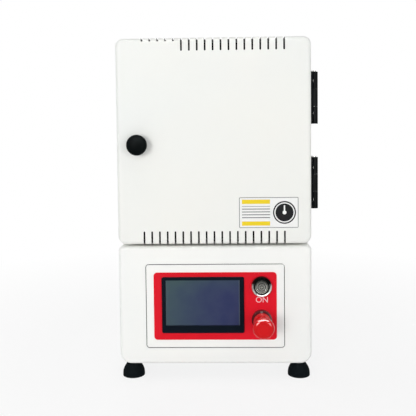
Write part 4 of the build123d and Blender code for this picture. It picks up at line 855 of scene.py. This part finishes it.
coils = coil_tree()
for side in ("left", "right"):
    points = groove_line("element_" + side, "board_" + side)
    links = [(i, i + 1) for i in range(len(points) - 1)]
    grow("heating_coil_" + side, mesh_of("groove_" + side, points, links), coils, "cabinet",
         "resistance_wire", ["element_" + side])

# %% [markdown]
# ## The door seal
#
# A flat braided tape of glass fibre runs round the plug of the door. Its strands cross in
# herringbone. The base mesh is a closed line round the plug. A group of four slanted stitches
# is copied along that line and turned to follow it.

# %% Tree: a braided band along a line
BRAID_ROWS = ((-1.5, 0.6), (-0.5, -0.6), (0.5, 0.6), (1.5, -0.6))   # place across, slant
BRAID_SPREAD = 4.6                     # rows that would fill the band
STITCH_LENGTH, STITCH_HEIGHT = 0.24, 0.15   # half sizes, as parts of the band's width


def braid_tree():
    t = Tree("braid", pitch=2.6 * MM, width=9.0 * MM, depth=4.6 * MM)
    line = t.node("GeometryNodeMeshToCurve", None, {"Mesh": t.given("Geometry")})
    even_values = {"Curve": line, "Length": t.given("pitch")}
    even = t.node("GeometryNodeResampleCurve", {"mode": "LENGTH"}, even_values)
    grain = t.node("GeometryNodeMeshUVSphere", None, {"Segments": 8, "Rings": 5, "Radius": 1.0})
    length = t.maths("MULTIPLY", t.given("width"), STITCH_LENGTH)
    height = t.maths("MULTIPLY", t.given("width"), STITCH_HEIGHT)
    girth = t.maths("MULTIPLY", t.given("depth"), 0.5)
    stitches = []
    for row, slant in BRAID_ROWS:
        across = t.maths("MULTIPLY", t.given("width"), row / BRAID_SPREAD)
        place = t.vector(0.0, 0.0, across)
        stitches.append(t.moved(grain, place, (0, slant, 0), t.vector(length, girth, height)))
    group = t.node("GeometryNodeJoinGeometry", None, {"Geometry": stitches})
    along = t.node("GeometryNodeInputTangent")
    axes = {"axis": "X", "pivot_axis": "Y"}
    turn = t.node("FunctionNodeAlignRotationToVector", axes, {"Vector": along})
    values = {"Points": even, "Instance": group, "Rotation": turn}
    return t.end(t.node("GeometryNodeInstanceOnPoints", None, values), smooth=True)


# %% Lay the seal round the plug
SEAL_BAND = 9 * MM
SEAL_CORNER = 10 * MM
SEAL_INSIDE = 0.98                     # keeps the braid within the solid seal
CORNER_STEPS = 5


def rounded_outline(width, height, radius, steps=CORNER_STEPS):
    """Points of a rectangle with round corners, as (right, up) from its middle."""
    points = []
    for i, (sx, sz) in enumerate(((1, 1), (-1, 1), (-1, -1), (1, -1))):
        for k in range(steps + 1):
            turn = QUARTER * (i + k / steps)
            x = sx * (width / 2 - radius) + radius * math.cos(turn)
            z = sz * (height / 2 - radius) + radius * math.sin(turn)
            points.append((x, z))
    return points


seal_low, seal_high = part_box("door_gasket")
seal_mid = (seal_low + seal_high) / 2
seal_side = seal_high.x - seal_low.x - SEAL_BAND
seal_outline = rounded_outline(seal_side, seal_side, SEAL_CORNER)
seal_points = [(seal_mid.x + x, seal_mid.y, seal_mid.z + z) for x, z in seal_outline]
seal_links = [(i, (i + 1) % len(seal_points)) for i in range(len(seal_points))]
grow("braided_seal", mesh_of("seal_line", seal_points, seal_links), braid_tree(), "door",
     "rope_seal", ["door_gasket"], width=SEAL_BAND * SEAL_INSIDE)

# %% [markdown]
# ## The ring of the start button
#
# The ring was turned on a lathe, so its mesh is a profile spun round an axis. It has a round
# lip, and a dark recess between the lip and the button's face. Like the face, the lip carries a
# painted shade: it is darkened in its base colour over its upper half.

# %% Spin a profile round an axis
CREASE = math.radians(40)
SAME_PLACE = 1e-7
LATHE_STEPS = 72


def turned_mesh(name, profile, axis, steps=LATHE_STEPS):
    """A closed profile of (radius, forward) spun round an axis that points to the viewer."""
    points = []
    for k in range(steps):
        turn = 2 * math.pi * k / steps
        for radius, forward in profile:
            x = axis.x + radius * math.cos(turn)
            z = axis.z + radius * math.sin(turn)
            points.append((x, axis.y - forward, z))
    count = len(profile)
    faces = []
    for k in range(steps):
        here, there = k * count, (k + 1) % steps * count
        for i in range(count):
            j = (i + 1) % count
            faces.append((here + i, here + j, there + j, there + i))
    mesh = mesh_of(name, points, (), faces)
    shape = bmesh.new()
    shape.from_mesh(mesh)
    bmesh.ops.remove_doubles(shape, verts=shape.verts, dist=SAME_PLACE)
    bmesh.ops.dissolve_degenerate(shape, edges=shape.edges, dist=SAME_PLACE)
    for face in shape.faces:
        face.smooth = True
    for edge in shape.edges:
        if len(edge.link_faces) == 2 and edge.calc_face_angle() > CREASE:
            edge.smooth = False
    shape.to_mesh(mesh)
    shape.free()
    return mesh


overlay_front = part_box("front_overlay")[0].y


def button_axis(solid):
    """The point where the axis of a round solid meets the front of the overlay."""
    low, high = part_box(solid)
    return Vector(((low.x + high.x) / 2, overlay_front, (low.z + high.z) / 2))


def turned_piece(name, profile, axis, body):
    """A piece from a profile in millimetres, measured from the axis and from the overlay."""
    metres = [(radius * MM, forward * MM) for radius, forward in profile]
    piece = add_piece(name, turned_mesh(name, metres, axis), body)
    print("%s: %d faces" % (name, len(piece.data.polygons)))
    return piece


# %% Turn the ring
BARREL = 25.0                          # reach of the ring behind the overlay
RECESS_R = 12.35 * MM                  # the lip begins here
RING_PROFILE = [
    (10.3, -BARREL), (10.3, 3.4), (12.2, 3.4), (12.4, 6.3), (12.9, 6.9), (13.5, 7.3), (14.2, 7.4),
    (14.9, 7.1), (15.4, 6.4), (15.7, 5.2), (15.8, 4.0), (15.8, 0.0), (11.0, 0.0), (11.0, -BARREL),
]


def lip_steel():
    """Bright plating with a dark recess inside the lip, and painted shade over the lip's upper half."""
    f = Finish("lip_steel", Specular_IOR_Level=0.05)
    x, _, z = f.centred(start_axis)
    outside = apart(x, z) > RECESS_R
    fine = f.noise(900, 2)
    # painted shade: the lip darkens over its upper half
    shade = z.rise(1 * MM, 5 * MM)
    plating = f.mixed(shade, (0.90, 0.91, 0.89), (0.004, 0.005, 0.004))
    f.colour(f.mixed(outside, (0.010, 0.012, 0.011), plating))
    f.feed(f.shader.inputs["Metallic"], outside)
    f.roughness(0.26 + 0.08 * fine)
    f.bump(fine, 0.01 * MM)
    return f.material


start_axis = button_axis("start_bezel")
ring = turned_piece("start_ring", RING_PROFILE, start_axis, "cabinet")
dress(ring, lip_steel())
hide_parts("start_bezel")

# %% [markdown]
# ## The head of the stop button
#
# The mushroom head is spun in the same way. Its face is almost flat, and a broad soft shoulder
# leads from the face to the rim, where the softbox draws a bright arc.

# %% Spin the mushroom head
HEAD_PROFILE = [
    (0.0, 48.3), (4.0, 48.4), (7.0, 48.65), (9.0, 48.95), (10.0, 49.0), (10.8, 48.93),
    (11.5, 48.72), (12.5, 48.30), (13.5, 47.80), (14.3, 47.32), (14.9, 46.88), (15.4, 46.35),
    (15.8, 45.6), (16.0, 44.8), (16.0, 43.6), (15.7, 42.9), (14.9, 42.5), (13.0, 41.6),
    (11.2, 39.6), (10.0, 36.5), (9.2, 32.0), (9.0, 27.0), (9.2, 22.5), (9.8, 18.8), (10.6, 16.6),
    (11.8, 15.0), (13.2, 13.9), (13.4, 13.3), (7.2, 13.3), (7.2, 29.4), (4.15, 29.4),
    (4.15, 44.4), (0.0, 44.4),
]
stop_axis = button_axis("estop_head")
stop_head = turned_piece("stop_head", HEAD_PROFILE, stop_axis, "stop_head")
dress(stop_head, finishes["red_plastic"])
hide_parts("estop_head")

# %% [markdown]
# ## The notice on the door
#
# Low on the right of the door sits a plain sticker. It carries a generic dial, and ruled lines
# between two yellow bars, all worked out in the shader from the distance to its middle.

# %% A thin sheet with round corners
def sheet_mesh(name, centre, width, height, radius, thickness):
    """A thin upright sheet whose back lies at centre.y and whose front faces the viewer."""
    outline = [(centre.x + x, centre.z + z) for x, z in rounded_outline(width, height, radius)]
    count = len(outline)
    points = [(x, centre.y - thickness, z) for x, z in outline] + [(x, centre.y, z) for x, z in outline]
    front = [list(range(count))[::-1]]
    back = [list(range(count, 2 * count))]
    rim = [(i, (i + 1) % count, (i + 1) % count + count, i + count) for i in range(count)]
    return mesh_of(name, points, (), front + back + rim)


# %% The sticker and its print
STICKER_W, STICKER_H = 90.5 * MM, 47.0 * MM
STICKER_CORNER, STICKER_THICK = 1.5 * MM, 0.15 * MM
RIM = 0.9 * MM
DIAL_ASIDE = 24 * MM                   # from the sticker's middle to the dial's
DISC_R, RING_OUTER_R, RING_INNER_R, HUB_R = 17.5 * MM, 15.5 * MM, 13.8 * MM, 3.0 * MM
HAND_LENGTH, HAND_HALF_WIDTH = 11 * MM, 1.1 * MM
TEXT_LEFT, TEXT_RIGHT = -41 * MM, 2 * MM
RULE_PITCH, RULES_REACH = 4.4 * MM, 10 * MM
BAR_NEAR, BAR_FAR = 13.5 * MM, 20 * MM   # up or down from the middle
door_low, door_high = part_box("door_shell")
door_mid = (door_low + door_high) / 2
STICKER_AT = Vector((door_mid.x + 83.5 * MM, door_low.y, door_low.z + 48.3 * MM))


def sticker_print():
    f = Finish("sticker_print", IOR=1.45, Specular_IOR_Level=0.3)
    x, _, z = f.centred(STICKER_AT)
    rim = (x.size() > STICKER_W / 2 - RIM).larger(z.size() > STICKER_H / 2 - RIM)
    dial_x = x - DIAL_ASIDE
    radius = apart(dial_x, z)
    disc = radius < DISC_R
    ring = (radius < RING_OUTER_R) * (radius > RING_INNER_R)
    hand = (dial_x.size() < HAND_HALF_WIDTH) * (z > 0.0) * (radius < HAND_LENGTH)
    hub = radius < HUB_R
    left = (x < TEXT_RIGHT) * (x > TEXT_LEFT)
    rules = ((z * (2 * math.pi / RULE_PITCH)).wave() > 0.80) * left * (z.size() < RULES_REACH)
    bars = left * (z.size() > BAR_NEAR) * (z.size() < BAR_FAR)
    ink = (disc - ring - hand.larger(hub) + rules * 0.85 + rim * 0.8).held()
    paper = f.mixed(bars, (0.90, 0.90, 0.88), (0.88, 0.66, 0.02))
    f.colour(f.mixed(ink, paper, (0.010, 0.010, 0.012)))
    f.roughness(0.35 + 0.1 * f.noise(700))
    f.bump(f.noise(500), 0.02 * MM)
    return f.material


sticker_sheet = sheet_mesh("door_sticker", STICKER_AT, STICKER_W, STICKER_H,
                           STICKER_CORNER, STICKER_THICK)
sticker = add_piece("door_sticker", sticker_sheet, "door")
dress(sticker, sticker_print())
print("door_sticker: %.1f by %.1f mm" % (STICKER_W / MM, STICKER_H / MM))

# %% [markdown]
# ## The mark under the start button
#
# The word ON is printed on the overlay in pale pink. A text object is turned into a mesh
# first, and only then moved to its place.

# %% Print the mark
SIZE_OVER_CAPITAL = 1.45               # letter size for each unit of a capital's height
INK_HALF = 0.04 * MM
INK_LIFT = 0.05 * MM
CAPITAL_HEIGHT = 8.6 * MM
MARK_ASIDE, MARK_BELOW = 0.6 * MM, 5.7 * MM   # from the foot of the start button's ring


def printed_word(name, word, height, centre):
    curve = bpy.data.curves.new(name, "FONT")
    curve.body = word
    curve.align_x, curve.align_y = "CENTER", "CENTER"
    curve.size = height * SIZE_OVER_CAPITAL
    curve.extrude = INK_HALF
    text = bpy.data.objects.new(name + "_text", curve)
    scene.collection.objects.link(text)
    ready = text.evaluated_get(bpy.context.evaluated_depsgraph_get())
    mesh = bpy.data.meshes.new_from_object(ready)
    bpy.data.objects.remove(text)
    mesh.transform(Matrix.Translation(centre) @ Matrix.Rotation(QUARTER, 4, "X"))
    return mesh


def mark_ink():
    f = Finish("mark_ink", IOR=1.45)
    f.colour(f.mixed(f.noise(900), (0.86, 0.52, 0.56), (0.92, 0.66, 0.69)))
    f.roughness(0.45 + 0.1 * f.noise(700))
    return f.material


ring_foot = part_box("start_bezel")[0].z
MARK_AT = Vector((start_axis.x + MARK_ASIDE, overlay_front - INK_LIFT, ring_foot - MARK_BELOW))
word_mesh = printed_word("start_mark", "ON", CAPITAL_HEIGHT, MARK_AT)
mark = add_piece("start_mark", word_mesh, "cabinet")
dress(mark, mark_ink())
print("start_mark: %d faces" % len(mark.data.polygons))

# %% [markdown]
# ## The room
#
# The furnace stands on a pale floor in even studio light. The camera sees a white world, and
# so do rays that are mirrored or pass through glass towards the back. Towards the viewer and
# the ceiling, mirrored rays meet a dim room with one bright softbox in it. The dim room keeps
# black mouldings black, and the softbox draws crisp highlights on round glossy pieces. All
# other rays see a soft sky, so the white background doesn't flood the furnace with light.

# %% World and floor
WORLD_LEVEL = 0.46
ROOM_LEVEL = 0.12                      # what mirrored rays see behind the viewer
SOFTBOX_LEVEL = 15.0
SOFTBOX_MID = (0.05, -1.30)            # right and back, for one metre of height
SOFTBOX_HALF = (1.10, 0.28)
HORIZON = 0.1                          # the softbox ends above it


def ray_kinds(shading):
    """1 on rays from the camera, and 1 on rays that show the background at all."""
    outputs = ("Is Camera Ray", "Is Glossy Ray", "Is Transmission Ray")
    camera_ray, mirrored, through = shading.node("ShaderNodeLightPath", output=outputs)
    return camera_ray, camera_ray.larger(mirrored).larger(through)


world = bpy.data.worlds.new("studio")
scene.world = world
world.use_nodes = True
sky = Shading(world.node_tree)
x, y, z = sky.axes(sky.node("ShaderNodeTexCoord", output="Generated"))
behind = y.rise(-0.10, 0.40)
aside = (x / z - SOFTBOX_MID[0]).size() < SOFTBOX_HALF[0]
ahead = (y / z - SOFTBOX_MID[1]).size() < SOFTBOX_HALF[1]
softbox = aside * ahead * (z > HORIZON)
room = ROOM_LEVEL + (1 - ROOM_LEVEL) * behind + SOFTBOX_LEVEL * softbox
camera_ray, shown = ray_kinds(sky)
seen_level = camera_ray + (1 - camera_ray) * room
soft_sky = sky.node("ShaderNodeBackground", None, {"Color": (0.97, 0.98, 1.0), "Strength": WORLD_LEVEL})
white_sky = sky.node("ShaderNodeBackground", None, {"Color": (1, 1, 1), "Strength": seen_level})
sky.finish_at("World Output", sky.either(shown, soft_sky, white_sky))

FLOOR_HALF = 4.0
FLOOR_DROP = 0.1 * MM
FLOOR_CORNERS = ((-1, -1), (1, -1), (1, 1), (-1, 1))
floor_points = [(right * FLOOR_HALF, back * FLOOR_HALF, -FLOOR_DROP) for right, back in FLOOR_CORNERS]
floor = bpy.data.objects.new("floor", mesh_of("floor", floor_points, (), [(0, 1, 2, 3)]))
scene.collection.objects.link(floor)


def floor_finish():
    """Pale floor that keeps a soft shadow near the furnace and fades to white further out."""
    f = Finish("floor_paper", Roughness=0.9, Specular_IOR_Level=0.1)
    f.colour((0.92, 0.92, 0.92))
    x, y, _ = f.centred((0, 0, 0))
    far = apart(x, y).rise(0.30, 0.70)
    camera_ray, shown = ray_kinds(f)
    behind = y.rise(-0.25, 0.20)
    level = camera_ray + (1 - camera_ray) * (ROOM_LEVEL + (1 - ROOM_LEVEL) * behind)
    glow = f.node("ShaderNodeEmission", None, {"Color": (1, 1, 1), "Strength": level})
    share = camera_ray * (0.82 + 0.18 * far) + (shown - camera_ray)
    f.finish_at("Material Output", f.either(share, Signal(f, f.shader.outputs[0]), glow))
    return f.material


dress(floor, floor_finish())
print("floor: %.0f m square" % (2 * FLOOR_HALF))

# %% [markdown]
# Four large soft lamps shape the furnace: a key from the front left, a weaker fill from the
# front right, a faint one overhead and one behind. They are large, so shadows stay soft, and
# together with the world they give about the level at which a colour renders as written.

# %% Lamps
def soft_lamp(name, place, target, size, power):
    lamp = bpy.data.objects.new(name, bpy.data.lights.new(name, "AREA"))
    lamp.data.shape = "SQUARE"
    lamp.data.size = size
    lamp.data.energy = power
    lamp.location = place
    lamp.rotation_mode = "QUATERNION"
    lamp.rotation_quaternion = (Vector(place) - Vector(target)).to_track_quat("Z", "Y")
    scene.collection.objects.link(lamp)


TARGET = (0, -0.15, 0.28)
LAMPS = [
    ("key", (-1.3, -2.9, 0.65), 1.0, 30),
    ("fill", (1.6, -2.6, 0.20), 1.4, 23),
    ("top", (0.1, -0.9, 2.2), 0.8, 3),
    ("rear", (-0.8, 2.4, 1.5), 1.4, 16),
]
for name, place, size, power in LAMPS:
    soft_lamp(name, place, TARGET, size, power)
    print("%s lamp: %.1f m, %d W" % (name, size, power))
